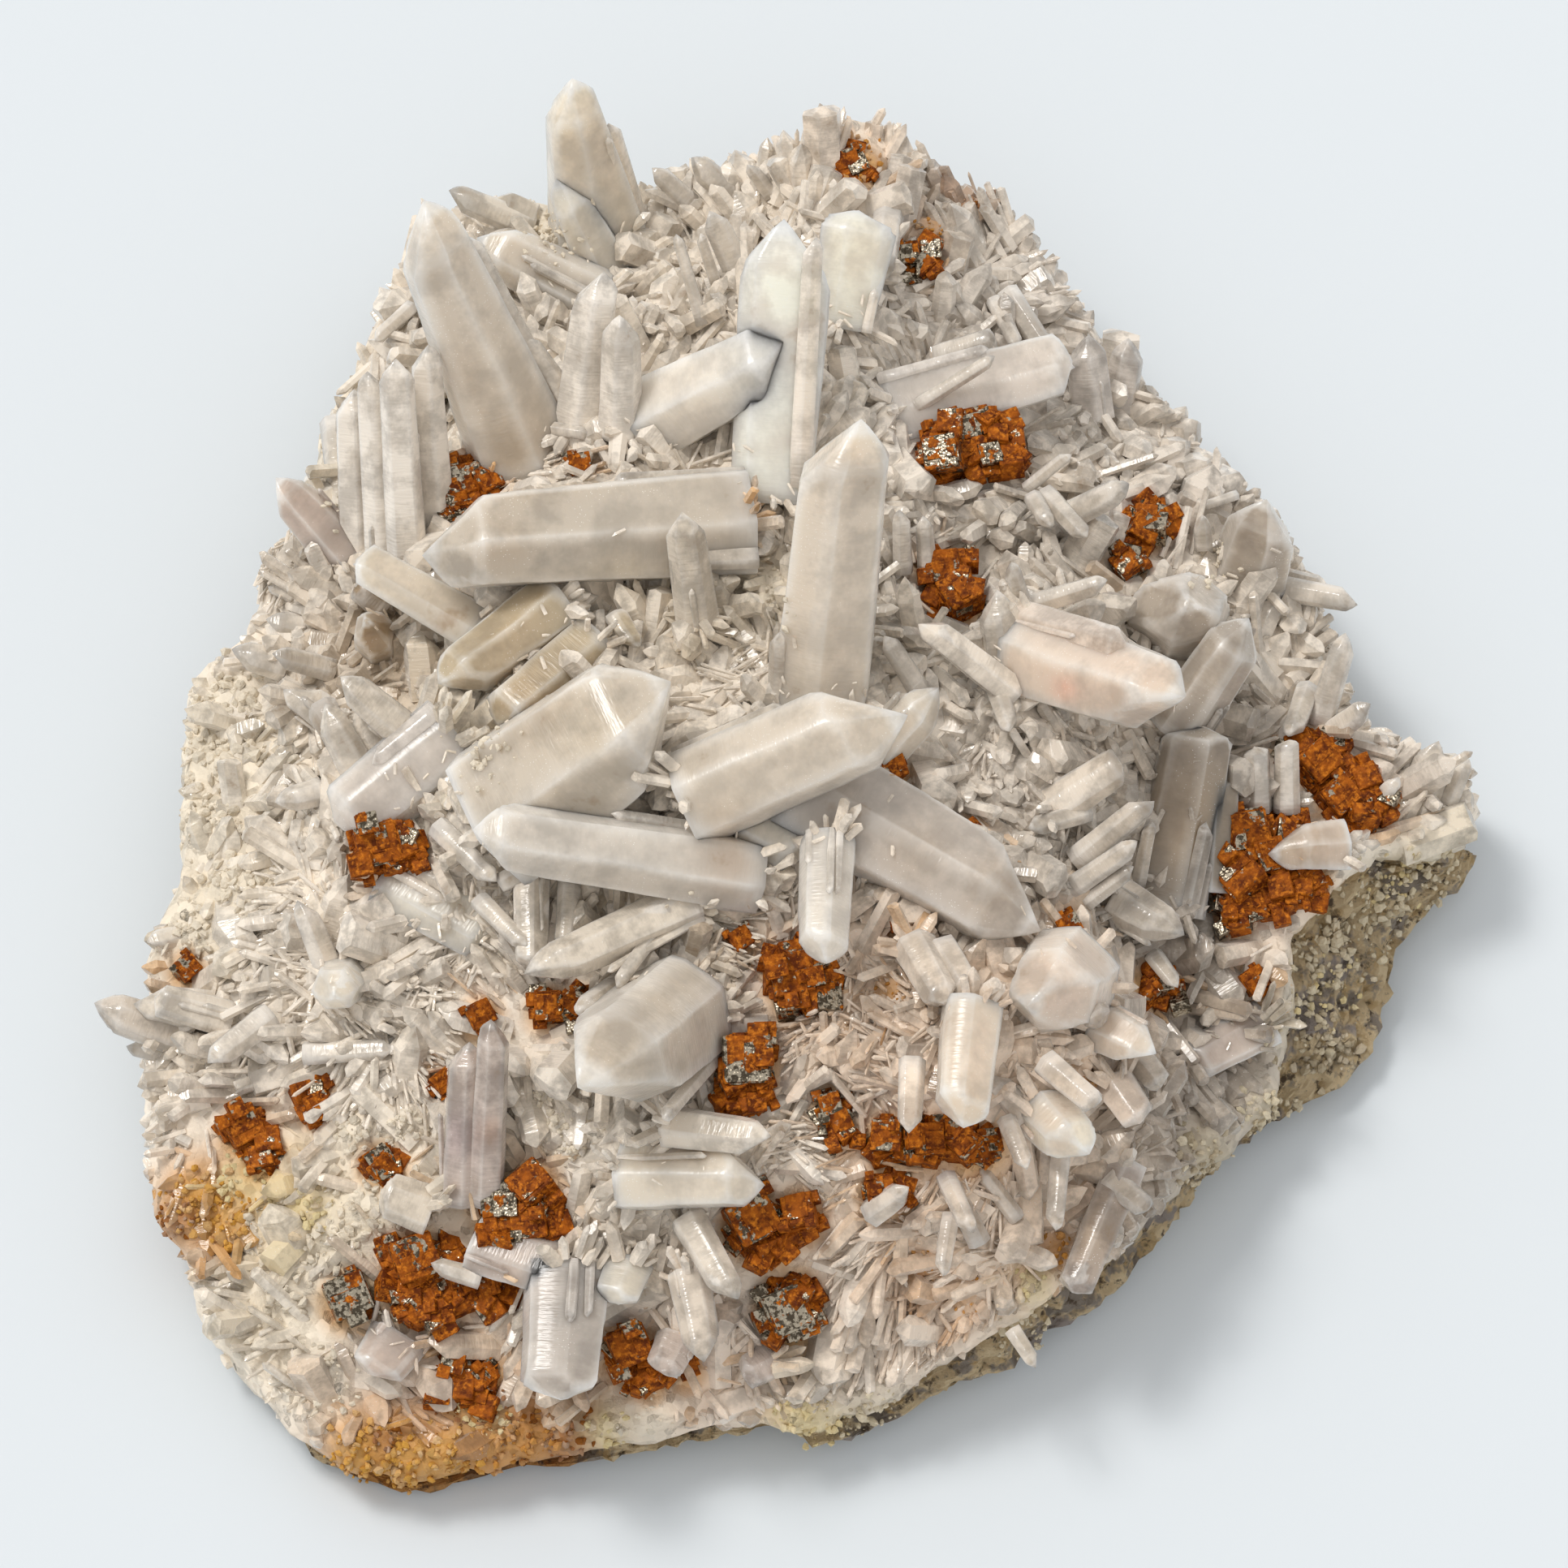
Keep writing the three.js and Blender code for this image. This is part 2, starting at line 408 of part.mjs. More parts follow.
// A closed skin round the plan. Each ring gives its point for a bearing, from the bottom up.
function skin(bottom, rings, top) {
  const levels = rings.length + 2;
  const profile = [bottom, ...rings, top].map((_, level) => {
    const onAxis = level === 0 || level === levels - 1;
    return new THREE.Vector2(onAxis ? 0 : 1, level);
  });
  const geometry = new THREE.LatheGeometry(profile, SECTORS);
  const position = geometry.attributes.position;
  for (let i = 0; i < position.count; i++) {
    const level = i % levels;
    const sector = Math.floor(i / levels) % SECTORS;
    const ring = rings[level - 1];
    const end = level === 0 ? bottom : top;
    const point = ring ? ring((FULL_TURN * sector) / SECTORS, sector) : end;
    position.setXYZ(i, point.x, point.y, point.z);
  }
  return solid(geometry);
}

function polar(angle, reach, height) {
  return new THREE.Vector3(reach * Math.cos(angle), reach * Math.sin(angle), height);
}

// A steady unevenness between -1 and 1 for each corner of a skin.
function uneven(sector, level) {
  const wave = Math.sin(sector * 12.9898 + level * 78.233) * 43758.5453;
  return 2 * (wave - Math.floor(wave)) - 1;
}

// The underside of the quartz: thick in the middle, thinner towards the rim.
function underside(angle, share, gap = 0) {
  const point = polar(angle, quartzReach(angle) * share, 0);
  const rim = rockShows(angle) ? RIM_THICKNESS : OVERHANG_THICKNESS;
  const inward = THREE.MathUtils.smoothstep(1 - share, 0, RIM_SHARE);
  const thickness = THREE.MathUtils.lerp(rim, CRUST_THICKNESS, inward);
  point.z = Math.max(surfaceHeight(point.x, point.y) - thickness, LOWEST_QUARTZ) - gap;
  return point;
}

function quartzCrust() {
  const middle = surfaceHeight(0, 0);
  const under = UNDERSIDE_RINGS.map((share) => (angle) => underside(angle, share));
  const over = SURFACE_RINGS.map((share, level) => (angle, sector) => {
    const point = polar(angle, quartzReach(angle) * share, 0);
    point.z = surfaceHeight(point.x, point.y) + RUGGEDNESS * uneven(sector, level);
    return point;
  });
  const rim = (angle, sector) => {
    const point = underside(angle, 1);
    const thickness = surfaceHeight(point.x, point.y) - point.z;
    point.z += thickness * (RIM_LINE + RIM_RUGGEDNESS * uneven(sector, 11));
    return point;
  };
  const bottom = new THREE.Vector3(0, 0, middle - CRUST_THICKNESS);
  const top = new THREE.Vector3(0, 0, middle);
  return skin(bottom, [...under, rim, ...over.reverse()], top);
}

// The rock, from its flat foot up its broken flank to the shelf that carries the quartz.
function hostRock(gap) {
  const shelf = (share) => (angle) => {
    const widest = (SHELF_SHARE * rockReach(angle)) / quartzReach(angle);
    return underside(angle, Math.min(share, widest), gap);
  };
  const rim = shelf(1);
  const girdle = (angle, sector) => {
    const height = GIRDLE_HEIGHT + GIRDLE_RUGGEDNESS * uneven(sector, 3);
    return polar(angle, rockReach(angle), Math.min(height, rim(angle).z - LEAST_STEP));
  };
  const flank = (share, level) => (angle, sector) => {
    const across = share + FLANK_RUGGEDNESS * uneven(sector, level);
    const point = girdle(angle, sector).lerp(rim(angle), across);
    point.z = Math.min(point.z + FLANK_BULGE * (rim(angle).z - point.z), rim(angle).z);
    return point;
  };
  const foot = (angle) => polar(angle, rockReach(angle) * FOOT_SHARE, 0);
  const rings = [
    foot,
    girdle,
    flank(0.36, 5),
    flank(0.7, 7),
    rim,
    ...UNDERSIDE_RINGS.map(shelf).reverse(),
  ];
  const top = new THREE.Vector3(0, 0, surfaceHeight(0, 0) - CRUST_THICKNESS - gap);
  return skin(new THREE.Vector3(), rings, top);
}

// A six-sided quartz point from root to tip. Its apex stands off the axis, as in most quartz.
function quartzPoint(root, tip, width, turn, shape = {}) {
  const { flat = 0.86, taper = 1.08, blunt = false, point = 0.62 } = shape;
  const radius = width / 2;
  const length = root.distanceTo(tip);
  const end = Math.min(point * width, LONGEST_END * length) * (blunt ? 0.2 : 1);
  const shoulder = length - end;
  const profile = [
    new THREE.Vector2(0, 0),
    new THREE.Vector2(radius * taper, 0),
    new THREE.Vector2(radius, shoulder),
  ];
  if (blunt) profile.push(new THREE.Vector2(radius * 0.7, length));
  profile.push(new THREE.Vector2(0, length));
  const geometry = new THREE.LatheGeometry(profile, 6).rotateY(turn).scale(1, 1, flat);
  const position = geometry.attributes.position;
  for (let i = 0; i < position.count; i++) {
    const past = Math.max(position.getY(i) - shoulder, 0) / end;
    position.setX(i, position.getX(i) + past * APEX_OFFSET * radius * Math.cos(turn * 3));
    position.setZ(i, position.getZ(i) + past * APEX_OFFSET * radius * flat * Math.sin(turn * 3));
  }
  const along = tip.clone().sub(root).normalize();
  const side = new THREE.Vector3().crossVectors(along, UP).normalize();
  const face = new THREE.Vector3().crossVectors(side, along);
  const frame = new THREE.Matrix4().makeBasis(side, along, face).setPosition(root);
  return solid(geometry.applyMatrix4(frame));
}

function namedPoints() {
  return Object.values(POINTS).map((row, index) => {
    const [rootColumn, rootRow, tipColumn, tipRow, width, rise, lift, shape] = row;
    const root = onSurface(rootColumn, rootRow, lift);
    const tip = place(tipColumn, tipRow, root.z + rise);
    return quartzPoint(root, tip, width, index * TURN_STEP, shape);
  });
}

// Mulberry32, so that the druse falls the same way each time.
function makeRandom(seed) {
  let state = seed;
  return () => {
    state = (state + 0x6d2b79f5) | 0;
    let mixed = Math.imul(state ^ (state >>> 15), 1 | state);
    mixed = (mixed + Math.imul(mixed ^ (mixed >>> 7), 61 | mixed)) ^ mixed;
    return ((mixed ^ (mixed >>> 14)) >>> 0) / 4294967296;
  };
}

// Small points scattered over the crust, standing up and leaning outwards.
function drusePoints() {
  const random = makeRandom(DRUSE_SEED);
  return Array.from({ length: DRUSE_COUNT }, () => {
    const angle = FULL_TURN * random();
    const share = DRUSE_SPREAD * Math.sqrt(random());
    const length = THREE.MathUtils.lerp(...DRUSE_LENGTH, random());
    const lean = new THREE.Vector3(random() - 0.5, random() - 0.5, 0).multiplyScalar(DRUSE_LEAN);
    const root = polar(angle, quartzReach(angle) * share, 0);
    root.z = surfaceHeight(root.x, root.y) - length * DRUSE_SUNK;
    const along = polar(angle, share, 1).add(lean).normalize();
    const tip = root.clone().addScaledVector(along, length);
    return quartzPoint(root, tip, length * DRUSE_SLENDERNESS, angle);
  });
}

// A knot of pyrite cubes on the limonite block that beds them, which narrows upwards and lies
// the way the first cube does. A lone cube has no limonite. A pocket is the same, grown by a gap.
function pyriteGroup(rows, gap = 0) {
  const turn = THREE.MathUtils.degToRad(rows[0][3]);
  const cubes = rows.map(([column, row, edge, degrees, lift = 0]) => {
    const middle = onSurface(column, row, lift).applyAxisAngle(UP, -turn);
    middle.z += PYRITE_STANDS * edge;
    return { middle, edge, turn: THREE.MathUtils.degToRad(degrees) - turn };
  });
  const spread = new THREE.Box3().setFromPoints(cubes.map((cube) => cube.middle));
  const { x, y, z } = spread.getCenter(new THREE.Vector3());
  const half = spread.getSize(new THREE.Vector3()).multiplyScalar(0.5);
  const margin = LIMONITE_REACH * Math.max(...cubes.map((cube) => cube.edge));
  const depth = LIMONITE_DEPTH * margin;
  const width = half.x + margin + gap;
  const breadth = half.y + margin + gap;
  const bed = new THREE.BoxGeometry(2 * width, 2 * breadth, 2 * (depth + gap));
  const corners = bed.attributes.position;
  for (let i = 0; i < corners.count; i++) {
    const inset = corners.getZ(i) > 0 ? LIMONITE_INSET * margin : 0;
    corners.setX(i, corners.getX(i) - Math.sign(corners.getX(i)) * inset);
    corners.setY(i, corners.getY(i) - Math.sign(corners.getY(i)) * inset);
  }
  bed.translate(x, y, z - depth * LIMONITE_SUNK);
  const crystals = cubes.map((cube) => {
    const size = cube.edge + 2 * gap;
    return new THREE.BoxGeometry(size, size, size)
      .rotateX(PYRITE_LEAN * Math.cos(cube.turn * 5))
      .rotateY(PYRITE_LEAN * Math.sin(cube.turn * 7))
      .rotateZ(cube.turn)
      .translate(cube.middle.x, cube.middle.y, cube.middle.z);
  });
  const blocks = rows.length > 1 ? [bed, ...crystals] : crystals;
  return joined(blocks.map((block) => solid(block.rotateZ(turn))));
}

function quartzCluster() {
  const grown = joined([quartzCrust(), ...namedPoints(), ...drusePoints()]);
  const pockets = Object.values(PYRITE).map((rows) => pyriteGroup(rows, SEATING_GAP));
  return largestBody(grown.subtract(joined(pockets)).subtract(hostRock(SEATING_GAP / 2)));
}

// A solid as a named mesh of the part.
function meshOf(name, body, finish) {
  const { vertProperties, triVerts } = body.getMesh();
  const geometry = new THREE.BufferGeometry();
  geometry.setAttribute("position", new THREE.BufferAttribute(vertProperties, 3));
  geometry.setIndex(new THREE.BufferAttribute(triVerts, 1));
  geometry.computeVertexNormals();
  const mesh = new THREE.Mesh(geometry, new THREE.MeshStandardMaterial(FINISHES[finish]));
  mesh.name = name;
  return mesh;
}

const specimen = new THREE.Group();
specimen.add(meshOf("host_rock", hostRock(SEATING_GAP), "rock"));
specimen.add(meshOf("quartz_cluster", quartzCluster(), "quartz"));
for (const [name, rows] of Object.entries(PYRITE)) {
  specimen.add(meshOf(name, pyriteGroup(rows), "pyrite"));
}

export default specimen;
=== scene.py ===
# Pyrite on quartz: a hand-sized plate of altered rock, crusted with drusy quartz that has grown
# into a thicket of milky points, with limonite-stained pyrite seated in its hollows.
import math
from itertools import combinations

import bmesh
import bpy
import numpy as np
from mathutils import Matrix, Vector, noise


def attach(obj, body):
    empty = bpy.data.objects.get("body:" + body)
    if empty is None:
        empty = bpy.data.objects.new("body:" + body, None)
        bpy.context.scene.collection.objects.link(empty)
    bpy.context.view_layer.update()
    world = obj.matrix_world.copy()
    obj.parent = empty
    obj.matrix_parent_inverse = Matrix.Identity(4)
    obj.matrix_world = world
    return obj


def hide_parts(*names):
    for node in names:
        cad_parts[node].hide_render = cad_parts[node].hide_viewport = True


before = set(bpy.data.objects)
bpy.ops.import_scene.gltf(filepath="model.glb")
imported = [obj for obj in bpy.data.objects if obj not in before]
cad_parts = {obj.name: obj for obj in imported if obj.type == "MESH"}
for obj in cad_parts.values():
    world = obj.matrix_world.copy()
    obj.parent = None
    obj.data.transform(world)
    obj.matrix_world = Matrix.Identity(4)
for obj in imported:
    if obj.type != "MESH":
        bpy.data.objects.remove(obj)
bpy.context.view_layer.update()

# The view. The plate lies on its cut foot and is looked down on from the front, so a pixel of the
# picture and a height over the foot give a place on it. Sizes below are in millimetres.
MM = 0.001
PICTURE_WIDTH = 1932
MM_PER_PIXEL = 0.08
EYE_TILT = math.radians(68)
EYE_DISTANCE = 800
AIM_HEIGHT = 20
SENSOR = 36
EYE = np.array([0, -EYE_DISTANCE * math.cos(EYE_TILT), AIM_HEIGHT + EYE_DISTANCE * math.sin(EYE_TILT)])
scene = bpy.context.scene
camera = bpy.data.objects.new("camera", bpy.data.cameras.new("camera"))
camera.data.sensor_width = SENSOR
camera.data.lens = SENSOR * EYE_DISTANCE / (MM_PER_PIXEL * PICTURE_WIDTH)
camera.location = Vector(EYE) * MM
camera.rotation_euler.x = math.pi / 2 - EYE_TILT
scene.collection.objects.link(camera)
scene.camera = camera


def place(column, row, height):
    """Where the line of sight through a pixel of the picture is at a height over the foot."""
    across = (np.asarray(column, float) - PICTURE_WIDTH / 2) * MM_PER_PIXEL / EYE_DISTANCE
    up = (PICTURE_WIDTH / 2 - np.asarray(row, float)) * MM_PER_PIXEL / EYE_DISTANCE
    sine, cosine = math.sin(EYE_TILT), math.cos(EYE_TILT)
    sight = np.stack([across, cosine + up * sine, up * cosine - sine], -1)
    return EYE + sight * ((np.asarray(height) - EYE[2]) / sight[..., 2])[..., None]


def seen_at(points):
    """Columns and rows of the picture where places in the part are seen."""
    sine, cosine = math.sin(EYE_TILT), math.cos(EYE_TILT)
    away = points - EYE
    depth = away @ [0, cosine, -sine]
    scale = EYE_DISTANCE / MM_PER_PIXEL / depth
    return PICTURE_WIDTH / 2 + away[:, 0] * scale, PICTURE_WIDTH / 2 - away @ [0, sine, cosine] * scale


# The floor and the studio light: a pale sweep, one broad lamp at the upper left that throws a soft
# shadow to the lower right, and a pale room all round.
FLOOR_SIZE = 4.0
FLOOR_TONE = (0.708, 0.752, 0.786, 1)
LAMP_FROM = Vector((-1.0, 0.85, 2.05))
LAMP_WIDTH = 0.36  # radians
LAMP_STRENGTH = 1.32
SPARK_WIDTH = 0.11  # radians, of a small lamp beside the broad one
SPARK_STRENGTH = 0.26
LAMP_TONE = (1.0, 0.975, 0.94)
ROOM_TONE = (0.965, 0.965, 0.965, 1)
ROOM_STRENGTH = 0.765


def new_material(name, even=()):
    """A material and its shader, with the inputs that are the same all over the surface."""
    material = bpy.data.materials.new(name)
    material.use_nodes = True
    shader = material.node_tree.nodes["Principled BSDF"]
    for key, value in dict(even).items():
        shader.inputs[key].default_value = value
    return material, shader


floor_mesh = bpy.data.meshes.new("floor")
reach = FLOOR_SIZE / 2
floor_corners = [(-reach, -reach, 0), (reach, -reach, 0), (reach, reach, 0), (-reach, reach, 0)]
floor_mesh.from_pydata(floor_corners, [], [(0, 1, 2, 3)])
floor = bpy.data.objects.new("floor", floor_mesh)
scene.collection.objects.link(floor)
paper, _ = new_material("pale_paper", {
    "Base Color": FLOOR_TONE, "Roughness": 0.9, "Specular IOR Level": 0.2,
})
floor_mesh.materials.append(paper)

LAMPS = {"lamp": (LAMP_STRENGTH, LAMP_WIDTH), "spark": (SPARK_STRENGTH, SPARK_WIDTH)}
for name, (strength, width) in LAMPS.items():
    lamp = bpy.data.objects.new(name, bpy.data.lights.new(name, "SUN"))
    lamp.data.energy = strength
    lamp.data.angle = width
    lamp.data.color = LAMP_TONE
    lamp.rotation_euler = (-LAMP_FROM).to_track_quat("-Z", "Y").to_euler()
    scene.collection.objects.link(lamp)

room = bpy.data.worlds.new("room")
room.use_nodes = True
room.node_tree.nodes["Background"].inputs["Color"].default_value = ROOM_TONE
room.node_tree.nodes["Background"].inputs["Strength"].default_value = ROOM_STRENGTH
scene.world = room
scene.view_settings.view_transform = "Standard"
scene.cycles.max_bounces = 8
scene.cycles.diffuse_bounces = 3
scene.cycles.glossy_bounces = 3
scene.cycles.transmission_bounces = 8
scene.cycles.caustics_reflective = False

# The quartz crust: a sheet of intergrown quartz, 5 to 9 mm thick, that covers the rock. It rises
# and falls with the ground under the points, and its surface is a sugary bed of tiny crystals.
CRUST_THICKNESS = 8.5
RIM_THICKNESS = 4.6
OVERHANG_THICKNESS = 6.5
RIM_SHARE = 0.25
LOWEST_QUARTZ = 2.2
SOUNDING_REACH = 4.6
FAR_WEIGHT = 1e-5
GROUND_SUNK = 0.1  # of the bed under the roots of its small crystals
SETTLING_STEPS = 14
# Heights of the crust over the foot, as (picture column, picture row, height).
RELIEF = {
    "crown": [
        (1030, 160, 21), (1060, 210, 27), (1000, 220, 25), (1120, 230, 21), (1050, 300, 27),
        (940, 240, 18), (870, 250, 17), (800, 290, 18), (740, 330, 20), (660, 290, 14),
        (900, 330, 23), (850, 420, 27), (750, 450, 27), (980, 500, 30), (980, 400, 29),
    ],
    "far_right": [
        (1150, 270, 16), (1150, 330, 21), (1230, 300, 14), (1290, 400, 15), (1200, 400, 19),
        (1110, 450, 22), (1350, 460, 15), (1400, 520, 13), (1240, 500, 21), (1330, 560, 20),
        (1450, 560, 14), (1480, 640, 18), (1560, 700, 15), (1610, 790, 12),
    ],
    "left_flank": [
        (560, 290, 12), (520, 360, 15), (600, 400, 22), (680, 380, 22), (500, 470, 17),
        (430, 540, 12), (460, 620, 19), (560, 560, 25), (390, 640, 13), (420, 720, 20),
        (350, 730, 15), (350, 810, 17), (270, 850, 12), (300, 900, 16), (250, 950, 12),
        (310, 1010, 18), (250, 1050, 12), (420, 850, 21), (380, 940, 21),
    ],
    "heart": [
        (650, 640, 30), (800, 650, 31), (900, 720, 30), (1000, 700, 31), (700, 800, 30),
        (560, 720, 27), (500, 800, 23), (600, 880, 30), (800, 900, 33), (950, 920, 33),
        (1060, 900, 32), (1100, 780, 30), (1140, 600, 27), (1180, 720, 26), (1090, 660, 30),
        (480, 950, 25), (560, 1010, 28), (700, 1030, 31), (860, 1040, 31), (980, 1030, 31),
        (1100, 1040, 31), (1200, 1050, 30), (1180, 960, 28), (1240, 880, 29), (1310, 980, 28),
    ],
    "right": [
        (1260, 640, 24), (1380, 680, 22), (1300, 780, 28), (1450, 760, 23), (1400, 860, 26),
        (1520, 800, 19), (1560, 870, 17), (1390, 960, 25), (1360, 1060, 26), (1460, 960, 19),
        (1460, 1060, 17), (1420, 1140, 15),
    ],
    "arm": [
        (1560, 940, 18), (1640, 900, 14), (1640, 970, 18), (1730, 950, 14), (1790, 980, 10),
        (1560, 1050, 19), (1650, 1040, 18), (1760, 1020, 13), (1530, 1130, 18), (1560, 1200, 16),
        (1460, 1210, 14), (1500, 1280, 12), (1540, 1340, 9),
    ],
    "ledge": [
        (1450, 1300, 11), (1440, 1390, 9), (1400, 1470, 8), (1340, 1540, 7), (1290, 1600, 7),
        (1200, 1650, 6), (1120, 1700, 6), (1040, 1740, 6),
    ],
    "brow": [
        (1310, 1130, 27), (1350, 1200, 28), (1385, 1280, 28), (1385, 1350, 27), (1345, 1420, 25),
        (1280, 1490, 22), (1270, 1550, 20), (1200, 1600, 17), (1110, 1650, 14), (1020, 1700, 11),
    ],
    "lower_plateau": [
        (1000, 1150, 29), (1100, 1160, 29), (1220, 1180, 30), (1250, 1290, 31), (1130, 1260, 30),
        (1010, 1270, 28), (900, 1150, 28), (880, 1260, 27), (1190, 1400, 27), (1080, 1410, 25),
        (960, 1400, 26), (1200, 1500, 24), (1090, 1540, 22), (980, 1560, 20), (860, 1470, 24),
        (860, 1580, 18), (930, 1660, 14),
    ],
    "basin": [
        (480, 1060, 24), (600, 1110, 27), (720, 1130, 27), (780, 1220, 27), (640, 1220, 24),
        (500, 1180, 22), (380, 1120, 21), (400, 1230, 20), (300, 1200, 17), (230, 1180, 12),
        (520, 1320, 20), (400, 1350, 17), (640, 1360, 22), (760, 1360, 25), (300, 1330, 15),
        (220, 1320, 10), (230, 1420, 10), (320, 1430, 14), (460, 1440, 16), (580, 1450, 19),
    ],
    "fore_edge": [
        (720, 1480, 20), (640, 1560, 16), (760, 1600, 15), (520, 1560, 15), (400, 1560, 12),
        (280, 1540, 9), (330, 1660, 8), (450, 1660, 10), (560, 1680, 10), (690, 1670, 11),
        (800, 1700, 10), (880, 1730, 7), (960, 1730, 7), (700, 1760, 6), (560, 1780, 6),
        (440, 1760, 6),
    ],
}
# The edge of the crust, clockwise from the crown.
QUARTZ_EDGE = [
    (1030, 158, 20), (1100, 172, 19), (1150, 248, 14), (1235, 268, 12), (1300, 355, 12),
    (1345, 420, 12), (1400, 490, 12), (1455, 525, 12), (1485, 590, 12), (1530, 620, 12),
    (1590, 690, 12), (1630, 770, 11), (1640, 850, 12), (1680, 900, 13), (1740, 925, 13),
    (1795, 935, 11), (1815, 1000, 9), (1790, 1040, 10), (1690, 1045, 15), (1620, 1100, 16),
    (1580, 1150, 16), (1580, 1210, 14), (1570, 1270, 11), (1560, 1340, 8), (1520, 1395, 8),
    (1460, 1450, 8), (1420, 1500, 7), (1370, 1560, 7), (1300, 1605, 6), (1240, 1640, 6),
    (1150, 1690, 6), (1060, 1728, 6), (1000, 1745, 6), (940, 1748, 6), (850, 1755, 6),
    (750, 1762, 6), (650, 1775, 6), (540, 1795, 6), (440, 1790, 6), (385, 1765, 6),
    (320, 1700, 7), (262, 1630, 7), (240, 1550, 8), (205, 1490, 8), (193, 1420, 8),
    (188, 1330, 8), (190, 1230, 9), (200, 1150, 10), (222, 1110, 11), (240, 1060, 11),
    (240, 980, 11), (240, 900, 11), (255, 840, 12), (320, 790, 13), (335, 720, 13),
    (372, 660, 13), (405, 590, 12), (410, 530, 12), (458, 440, 12), (492, 360, 12),
    (525, 290, 12), (590, 262, 12), (660, 270, 13), (720, 290, 14), (780, 262, 15),
    (850, 228, 15), (920, 215, 16), (970, 205, 18),
]
# The edge of the rock where it shows beyond the crust, from the arm round to the left.
ROCK_EDGE = [
    (1822, 1040, 6), (1808, 1085, 5), (1775, 1112, 4), (1722, 1165, 4), (1716, 1225, 4),
    (1685, 1305, 4), (1600, 1365, 4), (1520, 1412, 4), (1470, 1470, 4), (1425, 1530, 4),
    (1372, 1585, 4), (1305, 1635, 4), (1245, 1680, 4), (1150, 1718, 3), (1060, 1772, 3),
    (1000, 1780, 3), (950, 1758, 3), (850, 1779, 3), (700, 1803, 3), (640, 1803, 3),
    (500, 1832, 3), (430, 1812, 3), (380, 1778, 4),
]
HIDDEN_ROCK = 0.93
ROCK_ENDS = 0.06

soundings = place(*np.array(sum(RELIEF.values(), []), float).T)


def surface_height(x, y):
    """Height of the crust at places of the plan."""
    x, y = np.asarray(x, float), np.asarray(y, float)
    total, weights = np.zeros(x.shape), np.zeros(x.shape)
    for sounding in soundings:
        apart = (sounding[0] - x) ** 2 + (sounding[1] - y) ** 2
        weight = np.exp(-apart / (2 * SOUNDING_REACH**2)) + FAR_WEIGHT / (1 + apart)
        total += weight * sounding[2]
        weights += weight
    return total / weights


def on_surface(column, row, lift=0.0):
    """The place of the crust that a pixel of the picture shows, raised by a lift."""
    height = np.full(np.shape(column), float(AIM_HEIGHT))
    for _ in range(SETTLING_STEPS):
        seen = place(column, row, height)
        height = (height + surface_height(seen[..., 0], seen[..., 1]) + lift) / 2
    return place(column, row, height)


def bearing(point):
    return np.arctan2(point[..., 1], point[..., 0]) % (2 * math.pi)


def reach_of(points):
    """The reach of an outline from the origin, as a function of the bearing."""
    angles, reaches = bearing(points), np.hypot(points[:, 0], points[:, 1])
    order = np.argsort(angles)
    return lambda angle: np.interp(angle, angles[order], reaches[order], period=2 * math.pi)


quartz_edge = place(*np.array(QUARTZ_EDGE, float).T)
shown_rock = place(*np.array(ROCK_EDGE, float).T)


def rock_shows(angle):
    return (angle < bearing(shown_rock[0]) + ROCK_ENDS) & (angle > bearing(shown_rock[-1]) - ROCK_ENDS)


quartz_reach = reach_of(quartz_edge)
hidden_rock = quartz_edge[~rock_shows(bearing(quartz_edge))] * HIDDEN_ROCK
rock_reach = reach_of(np.concatenate([shown_rock, hidden_rock]))


def underside(angle, share, gap=0.0):
    """Height of the crust's underside, which is thick in the middle and thinner at the rim."""
    across = quartz_reach(angle) * share
    rim = np.where(rock_shows(angle), RIM_THICKNESS, OVERHANG_THICKNESS)
    inward = np.clip((1 - share) / RIM_SHARE, 0, 1)
    inward = inward * inward * (3 - 2 * inward)
    thickness = rim + (CRUST_THICKNESS - rim) * inward
    top = surface_height(across * np.cos(angle), across * np.sin(angle))
    return np.maximum(top - thickness, LOWEST_QUARTZ) - gap


def rough(points, size, octaves=4):
    """Broken, natural unevenness about 0 at places in the part, for lumps of a size."""
    return np.array([noise.fractal(Vector(p) / size, 0.9, 2.1, octaves) for p in points])


def ring_skin(x, y, z, tip=None):
    """Corners and faces of a closed skin over rows of rings, which end in a point at each end."""
    rings, sectors = x.shape
    corners = np.stack([x, y, z], -1).reshape(-1, 3)
    ends = [corners[:sectors].mean(0), corners[-sectors:].mean(0) if tip is None else tip]
    corners = np.concatenate([corners, ends])
    ring, sector = np.meshgrid(np.arange(rings - 1), np.arange(sectors), indexing="ij")
    after = (sector + 1) % sectors
    low, high = ring * sectors, (ring + 1) * sectors
    faces = np.stack([low + sector, low + after, high + after, high + sector], -1).reshape(-1, 4).tolist()
    turn = np.arange(sectors)
    turned = (turn + 1) % sectors
    last = (rings - 1) * sectors
    faces += [(rings * sectors, b, a) for a, b in zip(turn.tolist(), turned.tolist())]
    faces += [(rings * sectors + 1, last + a, last + b) for a, b in zip(turn.tolist(), turned.tolist())]
    return corners, faces


def meshed(name, corners, faces, **grown):
    """A piece of the part from corners in millimetres, with values that its finish reads."""
    mesh = bpy.data.meshes.new(name)
    mesh.from_pydata((np.asarray(corners) * MM).tolist(), [], faces)
    for key, values in grown.items():
        values = np.asarray(values, np.float32)
        single = values.ndim == 1
        layer = mesh.attributes.new(key, "FLOAT" if single else "FLOAT_VECTOR", "POINT")
        layer.data.foreach_set("value" if single else "vector", values.ravel())
    piece = bpy.data.objects.new(name, mesh)
    scene.collection.objects.link(piece)
    return piece


